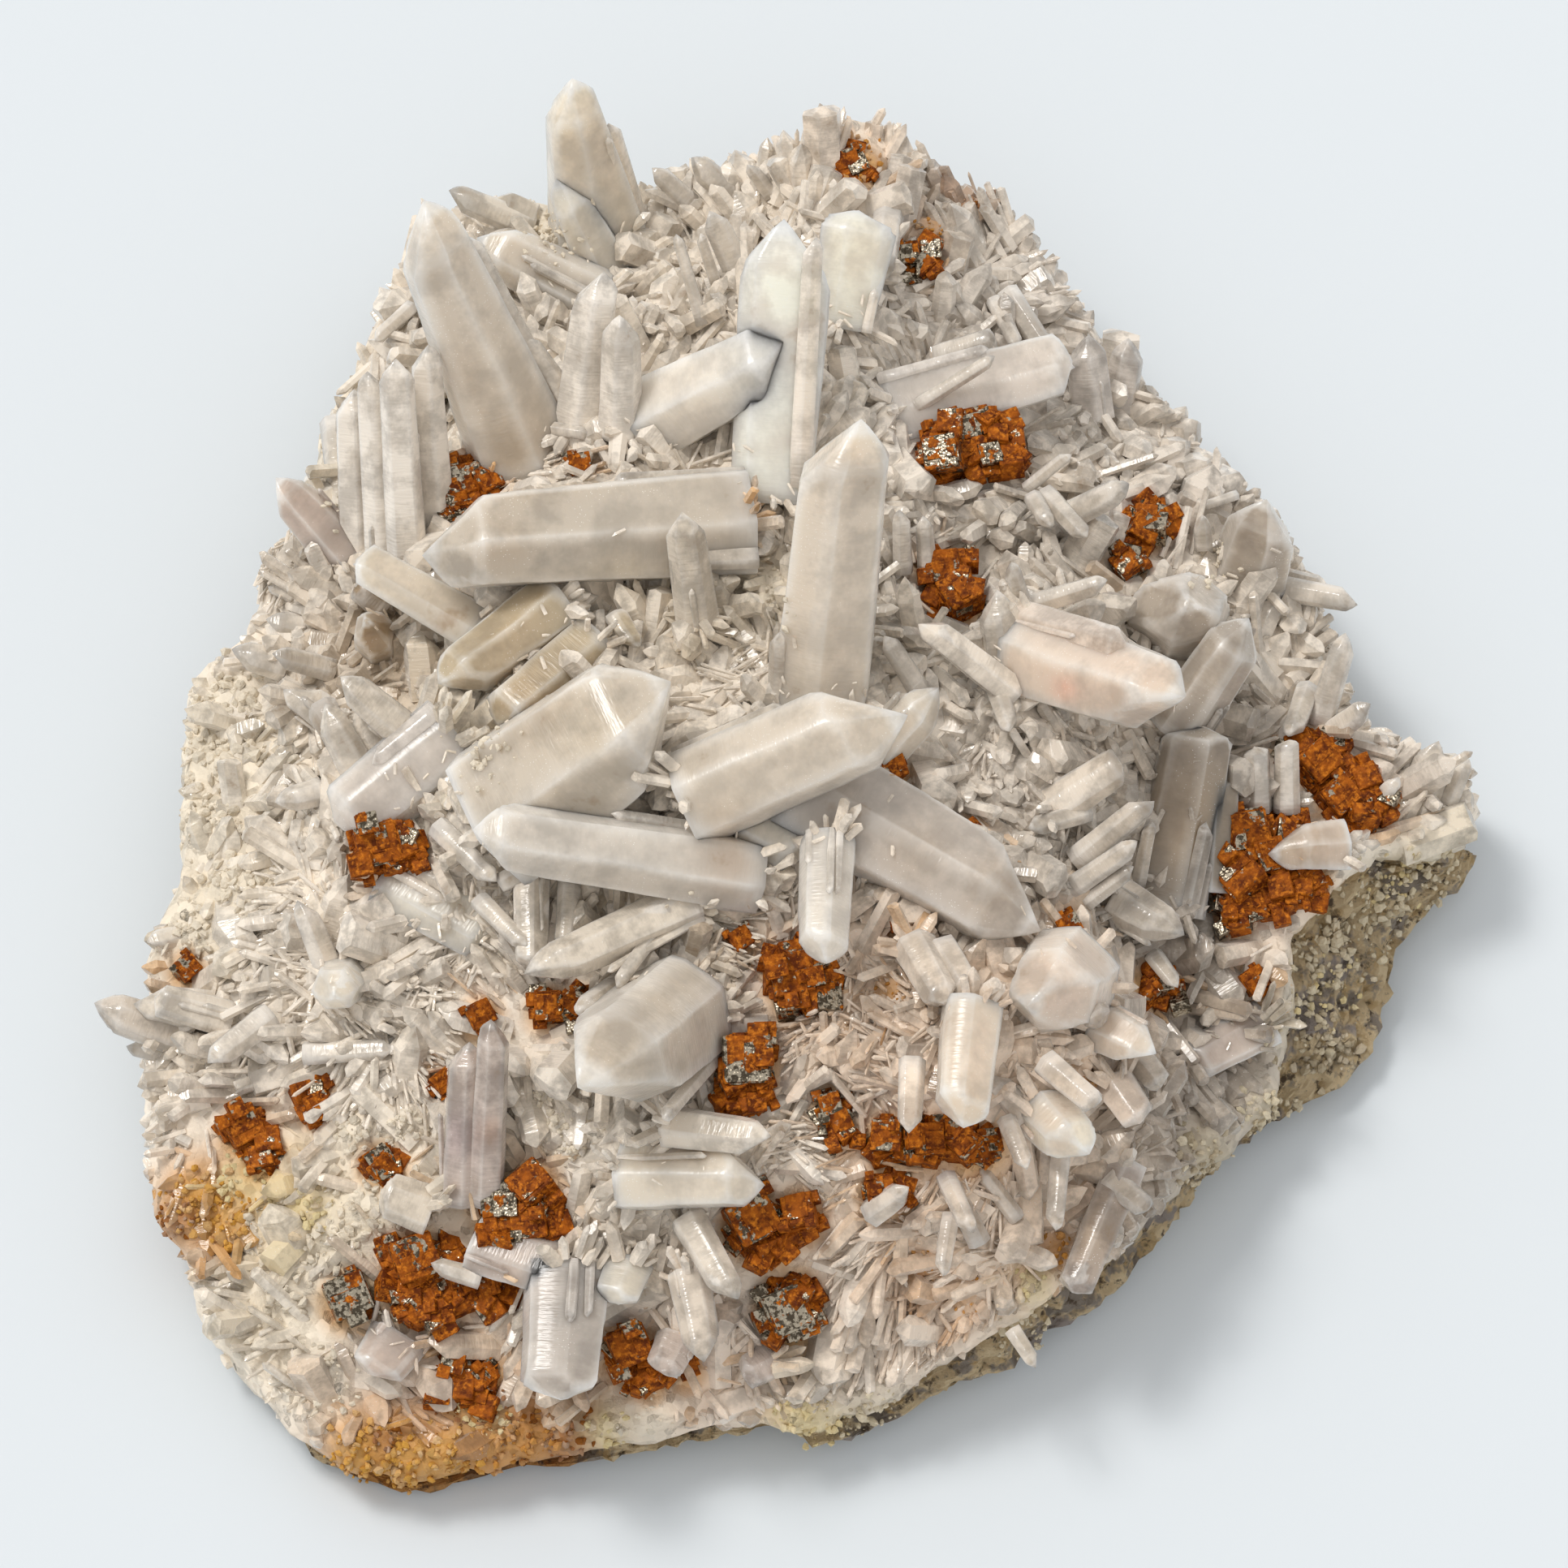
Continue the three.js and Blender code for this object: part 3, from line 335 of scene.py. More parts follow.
def corners_of(piece):
    flat = np.zeros(len(piece.data.vertices) * 3, np.float32)
    piece.data.vertices.foreach_get("co", flat)
    return flat.reshape(-1, 3).astype(float) / MM


def displace(piece, amounts):
    """Moves each corner of a piece along its normal, by millimetres."""
    normals = np.array([n.vector for n in piece.data.vertex_normals])
    moved = corners_of(piece) + normals * amounts[:, None]
    piece.data.vertices.foreach_set("co", (moved * MM).astype(np.float32).ravel())
    piece.data.update()


def finish_piece(piece, material, slot, *nodes):
    piece.data.materials.append(material)
    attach(piece, "root")
    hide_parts(*nodes)
    return piece


CRUST_SECTORS = 344
CRUST_RINGS = 90
UNDER_RINGS = 20
RIM_STEPS = 9
RIM_SWELL = 0.012
LUMP_HEIGHT = 0.55
LUMP_SIZE = 3.2
GRAIN_HEIGHT = 0.3
GRAIN_SIZE = 1.1
angle = np.linspace(0, 2 * math.pi, CRUST_SECTORS, endpoint=False)
under_shares = np.linspace(0.05, 1, UNDER_RINGS)[:, None] * np.ones(CRUST_SECTORS)
over_shares = np.linspace(1, 0.01, CRUST_RINGS)[:, None] * np.ones(CRUST_SECTORS)
under_z = underside(angle[None, :], under_shares)
rim_reach = quartz_reach(angle)
over_z = surface_height(over_shares * rim_reach * np.cos(angle), over_shares * rim_reach * np.sin(angle))
over_z -= GROUND_SUNK * np.clip((1 - over_shares) / 0.05, 0.2, 1)
lean = np.linspace(0, 1, RIM_STEPS)[1:-1, None]
rim_z = under_z[-1] + (over_z[0] - under_z[-1]) * lean
rim_shares = (1 + RIM_SWELL * np.sin(lean * math.pi)) * np.ones(CRUST_SECTORS)
shares = np.concatenate([under_shares, rim_shares, over_shares]) * rim_reach
heights = np.concatenate([under_z, rim_z, over_z])
corners, faces = ring_skin(shares * np.cos(angle), shares * np.sin(angle), heights)
crust = meshed("quartz_crust", corners, faces)
ground = corners_of(crust)
lumps = LUMP_HEIGHT * rough(ground, LUMP_SIZE) + GRAIN_HEIGHT * rough(ground + 40, GRAIN_SIZE, 2)
beneath = np.arange(len(ground)) < (UNDER_RINGS - 4) * CRUST_SECTORS
displace(crust, np.where(beneath, 0.2, 1) * lumps - 0.1)
crust.data.shade_smooth()

CREAM = (0.98, 0.865, 0.72)
WHITE = (0.985, 0.90, 0.79)
POWDER = (0.97, 0.85, 0.65)
GREY = (0.78, 0.67, 0.55)
BLUE_GREY = (0.86, 0.77, 0.68)
SMOKY = (0.50, 0.36, 0.22)
OLIVE = (0.68, 0.56, 0.39)
LILAC = (0.76, 0.63, 0.54)
PINK = (0.97, 0.74, 0.55)
BLUSH = (0.96, 0.80, 0.66)
YELLOW = (0.90, 0.62, 0.22)
OCHRE = (0.64, 0.28, 0.04)
# Painted shade: a dark grey that stands for shade, not a stain of the quartz.
SHADED = (0.42, 0.36, 0.30)
# Where the quartz is stained or clouded, as (column, row, reach in pixels, colour, strength). The
# SHADED spots are painted shade, darker grey in hollows and on sides that lie in shade. The WHITE
# spot at column 930, row 1130 is partly painted light over a shaded gap, and the SMOKY spot at
# column 850, row 1200 is partly painted shade in a gap.
TINTS = [
    (1440, 1400, 90, SHADED, 6.0), (1500, 1300, 60, SHADED, 4.0), (1410, 1180, 60, SHADED, 5.0),
    (1470, 1010, 90, SHADED, 3.0), (1500, 860, 80, SHADED, 1.5), (1180, 330, 70, SHADED, 1.0),
    (1420, 1520, 60, SHADED, 3.0), (1170, 640, 50, SHADED, 1.0), (400, 700, 40, SHADED, 0.6),
    (1290, 700, 110, SHADED, 0.35), (1280, 1080, 90, SHADED, 0.9), (1100, 700, 70, SHADED, 0.35),
    (1360, 620, 70, SHADED, 0.4), (1490, 1120, 60, SHADED, 1.0), (1100, 300, 60, SHADED, 0.6),
    (1250, 430, 110, SHADED, 0.5), (1330, 740, 60, SHADED, 0.5), (850, 1200, 45, SMOKY, 1.2),
    (605, 1450, 40, SMOKY, 2.0), (660, 1420, 40, SMOKY, 0.8), (1250, 460, 80, SHADED, 0.6),
    (1250, 430, 190, BLUE_GREY, 1.2), (1480, 620, 120, BLUE_GREY, 1.2), (1500, 900, 150, GREY, 1.2),
    (1230, 950, 120, BLUE_GREY, 0.8), (1400, 1440, 180, GREY, 1.6), (1150, 1710, 120, GREY, 1.2),
    (270, 950, 80, POWDER, 2.0), (260, 1120, 80, POWDER, 1.6), (440, 560, 90, POWDER, 1.4),
    (700, 290, 60, POWDER, 1.4), (590, 930, 60, POWDER, 2.0), (470, 1480, 60, POWDER, 1.4),
    (340, 1610, 80, POWDER, 1.2), (950, 740, 60, POWDER, 1.4), (720, 1400, 50, WHITE, 2.0),
    (930, 1130, 70, WHITE, 2.5), (1190, 1360, 90, PINK, 2.0), (860, 1700, 90, PINK, 1.0),
    (600, 860, 70, OLIVE, 1.6), (480, 800, 80, SMOKY, 1.3), (850, 760, 60, OLIVE, 1.0),
    (720, 1100, 60, OLIVE, 0.7), (900, 1110, 60, YELLOW, 0.35), (1080, 1240, 110, PINK, 3.0),
    (1095, 1225, 34, YELLOW, 0.7), (1200, 1520, 130, PINK, 2.5), (1135, 1560, 36, OCHRE, 0.5),
    (1300, 1530, 34, OCHRE, 0.9), (1275, 1575, 30, YELLOW, 0.9), (1320, 1290, 120, PINK, 2.5),
    (1320, 1330, 26, OCHRE, 0.5), (250, 1485, 45, OCHRE, 5.0), (340, 1475, 50, YELLOW, 3.0),
    (480, 1795, 60, OCHRE, 6.0), (590, 1780, 50, OCHRE, 5.0), (660, 1770, 60, OCHRE, 5.0),
    (570, 1700, 50, OCHRE, 1.1), (770, 1735, 70, SMOKY, 0.5), (970, 1725, 40, YELLOW, 1.0),
    (560, 1540, 60, SMOKY, 0.8), (1130, 1590, 60, PINK, 1.0), (890, 1650, 70, LILAC, 0.8),
    (470, 1690, 60, LILAC, 0.9), (1700, 940, 60, BLUE_GREY, 1.0), (1580, 1120, 60, PINK, 0.7),
    (1250, 560, 60, OLIVE, 0.5), (1180, 330, 40, OLIVE, 0.6), (1190, 260, 40, SMOKY, 0.6),
    (1040, 200, 60, PINK, 0.5),
]
tint_places = np.array([on_surface(column, row) for column, row, *_ in TINTS])
# Where fine quartz and limonite are caked as powder, and few crystals stand clear of it.
CHALK = (0.98, 0.87, 0.70)
LEMON = (0.90, 0.74, 0.40)
RUST = (0.66, 0.30, 0.06)
EMBER = (0.36, 0.12, 0.014)
AMBER = (0.78, 0.40, 0.07)
SAND = (0.80, 0.69, 0.49)
TAN = (0.56, 0.46, 0.31)
# Column, row, reach in pixels, count, tone, and the largest size in millimetres.
CRUMB_FIELDS = [
    (285, 860, 50, 130, CHALK, 1.5), (285, 940, 50, 150, CHALK, 1.5), (268, 1020, 45, 120, CHALK, 1.5),
    (300, 1095, 50, 130, CHALK, 1.4), (245, 1150, 35, 70, CHALK, 1.2), (560, 885, 36, 90, CHALK, 1.1),
    (605, 930, 40, 110, CHALK, 1.2), (440, 1400, 36, 100, CHALK, 1.3), (500, 1385, 26, 60, CHALK, 1.1),
    (470, 1480, 50, 170, CHALK, 1.5), (405, 1520, 50, 150, CHALK, 1.5), (350, 1590, 50, 130, CHALK, 1.5),
    (340, 1510, 40, 90, CHALK, 1.3), (400, 1700, 50, 90, CHALK, 1.2), (440, 560, 50, 110, CHALK, 1.2),
    (420, 610, 40, 70, CHALK, 1.1), (690, 290, 36, 90, CHALK, 1.2), (655, 265, 24, 50, CHALK, 1.0),
    (950, 740, 40, 70, CHALK, 1.0), (1500, 690, 34, 50, CHALK, 1.0), (830, 1130, 40, 60, CHALK, 0.9),
    (370, 1485, 40, 130, LEMON, 1.1), (300, 1455, 34, 90, LEMON, 1.1), (245, 1475, 36, 190, AMBER, 1.1),
    (285, 1510, 34, 150, AMBER, 1.1), (225, 1500, 26, 60, EMBER, 0.9), (600, 1745, 40, 100, LEMON, 1.1),
    (445, 1785, 40, 230, AMBER, 1.1), (500, 1800, 40, 240, AMBER, 1.1), (555, 1790, 36, 220, AMBER, 1.1),
    (600, 1785, 36, 170, RUST, 1.0), (655, 1770, 36, 150, RUST, 1.1), (700, 1765, 30, 110, EMBER, 1.0),
    (640, 1735, 30, 80, EMBER, 0.9), (480, 1775, 26, 60, EMBER, 0.9), (745, 1755, 30, 60, LEMON, 1.0),
    (985, 1738, 30, 80, LEMON, 1.0), (1295, 1535, 30, 80, RUST, 0.9), (1270, 1580, 24, 50, LEMON, 0.8),
    (1180, 1595, 30, 50, RUST, 0.7), (1135, 1555, 26, 50, RUST, 0.6), (1100, 1230, 30, 60, RUST, 0.6),
    (1330, 1330, 30, 50, RUST, 0.7), (560, 1735, 36, 70, EMBER, 0.9), (1190, 262, 24, 50, EMBER, 0.9),
    (1060, 205, 30, 50, RUST, 0.8), (1140, 285, 22, 40, RUST, 0.8), (800, 1745, 40, 60, CHALK, 1.0),
    (668, 1345, 13, 60, CHALK, 0.9), (688, 1388, 15, 70, CHALK, 1.0), (708, 1420, 15, 70, CHALK, 1.0),
    (735, 1392, 13, 50, CHALK, 0.8), (1760, 1060, 50, 130, SAND, 1.3), (1700, 1110, 50, 110, SAND, 1.2),
    (1720, 1090, 40, 60, LEMON, 0.9), (1640, 1180, 50, 130, SAND, 1.3), (1600, 1260, 50, 100, SAND, 1.2),
    (1640, 1220, 40, 50, LEMON, 0.9), (1640, 1290, 50, 110, TAN, 1.3), (1560, 1370, 40, 90, SAND, 1.2),
    (1480, 1420, 40, 80, TAN, 1.2), (1490, 1440, 40, 60, SAND, 1.1), (1270, 1650, 40, 60, SAND, 1.0),
    (1080, 1750, 50, 70, SAND, 1.1), (1010, 1765, 40, 60, LEMON, 1.0),
]
POWDER_STAINS = 0.8
BEDDING_TONE = 0.86  # of the powder's own, where it is packed flat under the crumbs
PLAIN_SHARE = 0.7  # of plain cream quartz against a stain of strength 1
STAIN_FALL = 1.2


def near_spot(columns, rows, column, row, square):
    """How near pixels of the picture are to a spot of it, from 0 to 1. Square is its reach squared."""
    return np.exp(-((columns - column) ** 2 + (rows - row) ** 2) / square)


def tint_at(points):
    """Colour of the quartz at places in the part: its stains, and the painted shade of SHADED."""
    total = np.ones((len(points), 1)) * PLAIN_SHARE * np.array(CREAM)
    weights = np.full(len(points), PLAIN_SHARE)
    for (_, _, reach_px, colour, strength), middle in zip(TINTS, tint_places):
        apart = ((points[:, :2] - middle[:2]) ** 2).sum(1)
        weight = strength * np.exp(-apart / (reach_px * MM_PER_PIXEL) ** 2 * STAIN_FALL)
        total += weight[:, None] * np.array(colour)
        weights += weight
    tones = total / weights[:, None]
    columns, rows = seen_at(points)
    for column, row, reach_px, _, tone, _ in CRUMB_FIELDS:
        share = POWDER_STAINS * near_spot(columns, rows, column, row, 0.7 * reach_px**2)
        tones += (BEDDING_TONE * np.array(tone) - tones) * share[:, None]
    return tones


def tone_over(piece, tones):
    """Gives the corners of a piece their tones."""
    known = piece.data.attributes.get("tone")
    layer = known or piece.data.attributes.new("tone", "FLOAT_VECTOR", "POINT")
    layer.data.foreach_set("vector", tones.astype(np.float32).ravel())


def wired(material, kind, inputs=(), **settings):
    """A new node of a material. Its inputs are plain values, or sockets to link."""
    node = material.node_tree.nodes.new("ShaderNode" + kind)
    for key, value in settings.items():
        setattr(node, key, value)
    for key, value in dict(inputs).items():
        if isinstance(value, bpy.types.NodeSocket):
            material.node_tree.links.new(value, node.inputs[key])
        else:
            node.inputs[key].default_value = value
    return node


def link(material, output, target):
    material.node_tree.links.new(output, target)


def grown_in(material, key, output):
    """What the corners of a piece carry under a key."""
    return wired(material, "Attribute", attribute_name=key).outputs[output]


def spread(material, value, low, high, to_low=0.0, to_high=1.0):
    """A value moved from one range to another, and held at its ends."""
    moved = wired(material, "MapRange", {
        "Value": value, "From Min": low, "From Max": high, "To Min": to_low, "To Max": to_high,
    })
    return moved.outputs["Result"]


def dimmed(material, tone, share):
    """A tone times a share that varies over the surface."""
    return wired(material, "VectorMath", {0: tone, 1: share}, operation="MULTIPLY").outputs["Vector"]


def embossed(material, shader, height, strength, distance, **normal):
    """Fine relief on a surface, from a height that varies over it."""
    relief = wired(material, "Bump", {
        "Height": height, "Strength": strength, "Distance": distance, **normal,
    })
    link(material, relief.outputs["Normal"], shader.inputs["Normal"])


FACET_TILT = 1.1
QUARTZ_IOR = 1.54
sugar, sugar_shader = new_material("sugary_quartz", {"Roughness": 0.42, "IOR": QUARTZ_IOR})
where = wired(sugar, "TexCoord").outputs["Object"]
grains = wired(sugar, "TexVoronoi", {"Vector": where, "Scale": 950}, feature="F1").outputs["Color"]
mottling = {"Vector": where, "Scale": 330, "Detail": 9, "Roughness": 0.65}
mottle = wired(sugar, "TexNoise", mottling).outputs["Fac"]
shade = spread(sugar, mottle, 0.34, 0.6, 0.88, 1.04)
link(sugar, dimmed(sugar, grown_in(sugar, "tone", "Color"), shade), sugar_shader.inputs["Base Color"])
facing = wired(sugar, "NewGeometry").outputs["Normal"]
tiny_face = wired(sugar, "VectorMath", {0: grains, 1: (0.5, 0.5, 0.5)}, operation="SUBTRACT")
facet = {0: tiny_face.outputs["Vector"], 1: (FACET_TILT,) * 3, 2: facing}
tilted = wired(sugar, "VectorMath", facet, operation="MULTIPLY_ADD").outputs["Vector"]
embossed(sugar, sugar_shader, mottle, 0.5, 0.0012, Normal=tilted)
tone_over(crust, tint_at(corners_of(crust)))
finish_piece(crust, sugar, "quartz", "quartz_cluster")

# The host rock: altered, porous grey and tan rock that shows along the lower right, and at the
# bottom edge, where it is soaked with ochre limonite. It is cut flat underneath to stand on.
SHELF_SHARE = 0.96
FOOT_SHARE = 0.86
GIRDLE_HEIGHT = 3.4
SEATING_GAP = 0.3
ROCK_SECTORS = 420
FLANK_ROWS = 26
SHELF_ROWS = 14
FLANK_BULGE = 0.15
CHIP_SIZE = 5.0
CRACK_SIZE = 2.2
CRACK_DEPTH = 1.7
CHIP_LIFT = 0.35
rock_angle = np.linspace(0, 2 * math.pi, ROCK_SECTORS, endpoint=False)
widest = rock_reach(rock_angle)
shelf_share = np.minimum(1, SHELF_SHARE * widest / quartz_reach(rock_angle))
rim_height = underside(rock_angle, shelf_share, SEATING_GAP)
rim_at = quartz_reach(rock_angle) * shelf_share
girdle = np.minimum(GIRDLE_HEIGHT, rim_height - 0.6)
rows = [(widest * share, 0 * widest) for share in (0.3, 0.6, FOOT_SHARE)]
rows += [(widest * (FOOT_SHARE + (1 - FOOT_SHARE) * rise), girdle * rise) for rise in (0.3, 0.65, 1)]
for climb in np.linspace(0, 1, FLANK_ROWS)[1:]:
    bulge = FLANK_BULGE * (1 - climb)
    risen = girdle + (rim_height - girdle) * (climb + bulge * climb)
    rows.append((widest + (rim_at - widest) * climb, risen))
for share in np.linspace(1, 0.1, SHELF_ROWS)[1:]:
    rows.append((rim_at * share, underside(rock_angle, shelf_share * share, SEATING_GAP)))
reaches, rises = np.array(rows).transpose(1, 0, 2)
corners, faces = ring_skin(reaches * np.cos(rock_angle), reaches * np.sin(rock_angle), rises)
rock = meshed("broken_rock", corners, faces)
rock_corners = corners_of(rock)
ring = np.minimum(np.arange(len(rock_corners)) // ROCK_SECTORS, len(rows) - 1)
flank = np.interp(ring, [2, 4, 6, 28, 32], [0, 0.5, 1, 1, 0.2])
cracks = np.abs(rough(rock_corners + 30, CRACK_SIZE, 4)) * CRACK_DEPTH
displace(rock, (rough(rock_corners, CHIP_SIZE, 3) - cracks + CHIP_LIFT) * flank)
# Only the ochre soaks into the rock. The paler stains and the painted shade stay on the quartz.
soaked = tint_at(rock_corners)
soaked = np.array(CREAM) + (soaked - CREAM) * np.clip((0.3 - soaked[:, 2:]) / 0.12, 0, 1)
tone_over(rock, soaked)


def blotches(material, where, scale, low, high):
    """A mask from 0 to 1 of natural blotches."""
    spots = wired(material, "TexNoise", {"Vector": where, "Scale": scale, "Detail": 4, "Roughness": 0.6})
    return spread(material, spots.outputs["Fac"], low, high)


def mixed(material, mask, first, second):
    """The first tone where a mask is 0, the second where it is 1."""
    return wired(material, "Mix", {0: mask, 6: first, 7: second}, data_type="RGBA").outputs[2]


ROCK_LIGHTNESS = 1.26
altered, altered_shader = new_material("altered_rock", {"Roughness": 0.85})
where = wired(altered, "TexCoord").outputs["Object"]
# Scale and range of the blotches of each tone, which lie over the grey of the bare rock.
ROCK_BLOTCHES = [
    (240, 0.41, 0.48, (0.80, 0.71, 0.52, 1)),  # tan
    (420, 0.54, 0.62, (0.66, 0.54, 0.33, 1)),  # cream
    (120, 0.58, 0.62, (0.38, 0.365, 0.39, 1)),  # chips of lilac grey
    # The dark hollows are painted shade: dark blotches for the shade inside the rock's pores.
    (800, 0.56, 0.66, (0.13, 0.10, 0.07, 1)),  # dark hollows
]
rock_tone = (0.34, 0.32, 0.31, 1)
for scale, low, high, tone in ROCK_BLOTCHES:
    rock_tone = mixed(altered, blotches(altered, where, scale, low, high), rock_tone, tone)
stained_rock = {0: dimmed(altered, rock_tone, grown_in(altered, "tone", "Color")), "Scale": ROCK_LIGHTNESS}
brighter = wired(altered, "VectorMath", stained_rock, operation="SCALE").outputs["Vector"]
link(altered, brighter, altered_shader.inputs["Base Color"])
pores = wired(altered, "TexNoise", {"Vector": where, "Scale": 700, "Detail": 8, "Roughness": 0.75})
embossed(altered, altered_shader, pores.outputs["Fac"], 1.0, 0.002)
finish_piece(rock, altered, "rock", "host_rock")

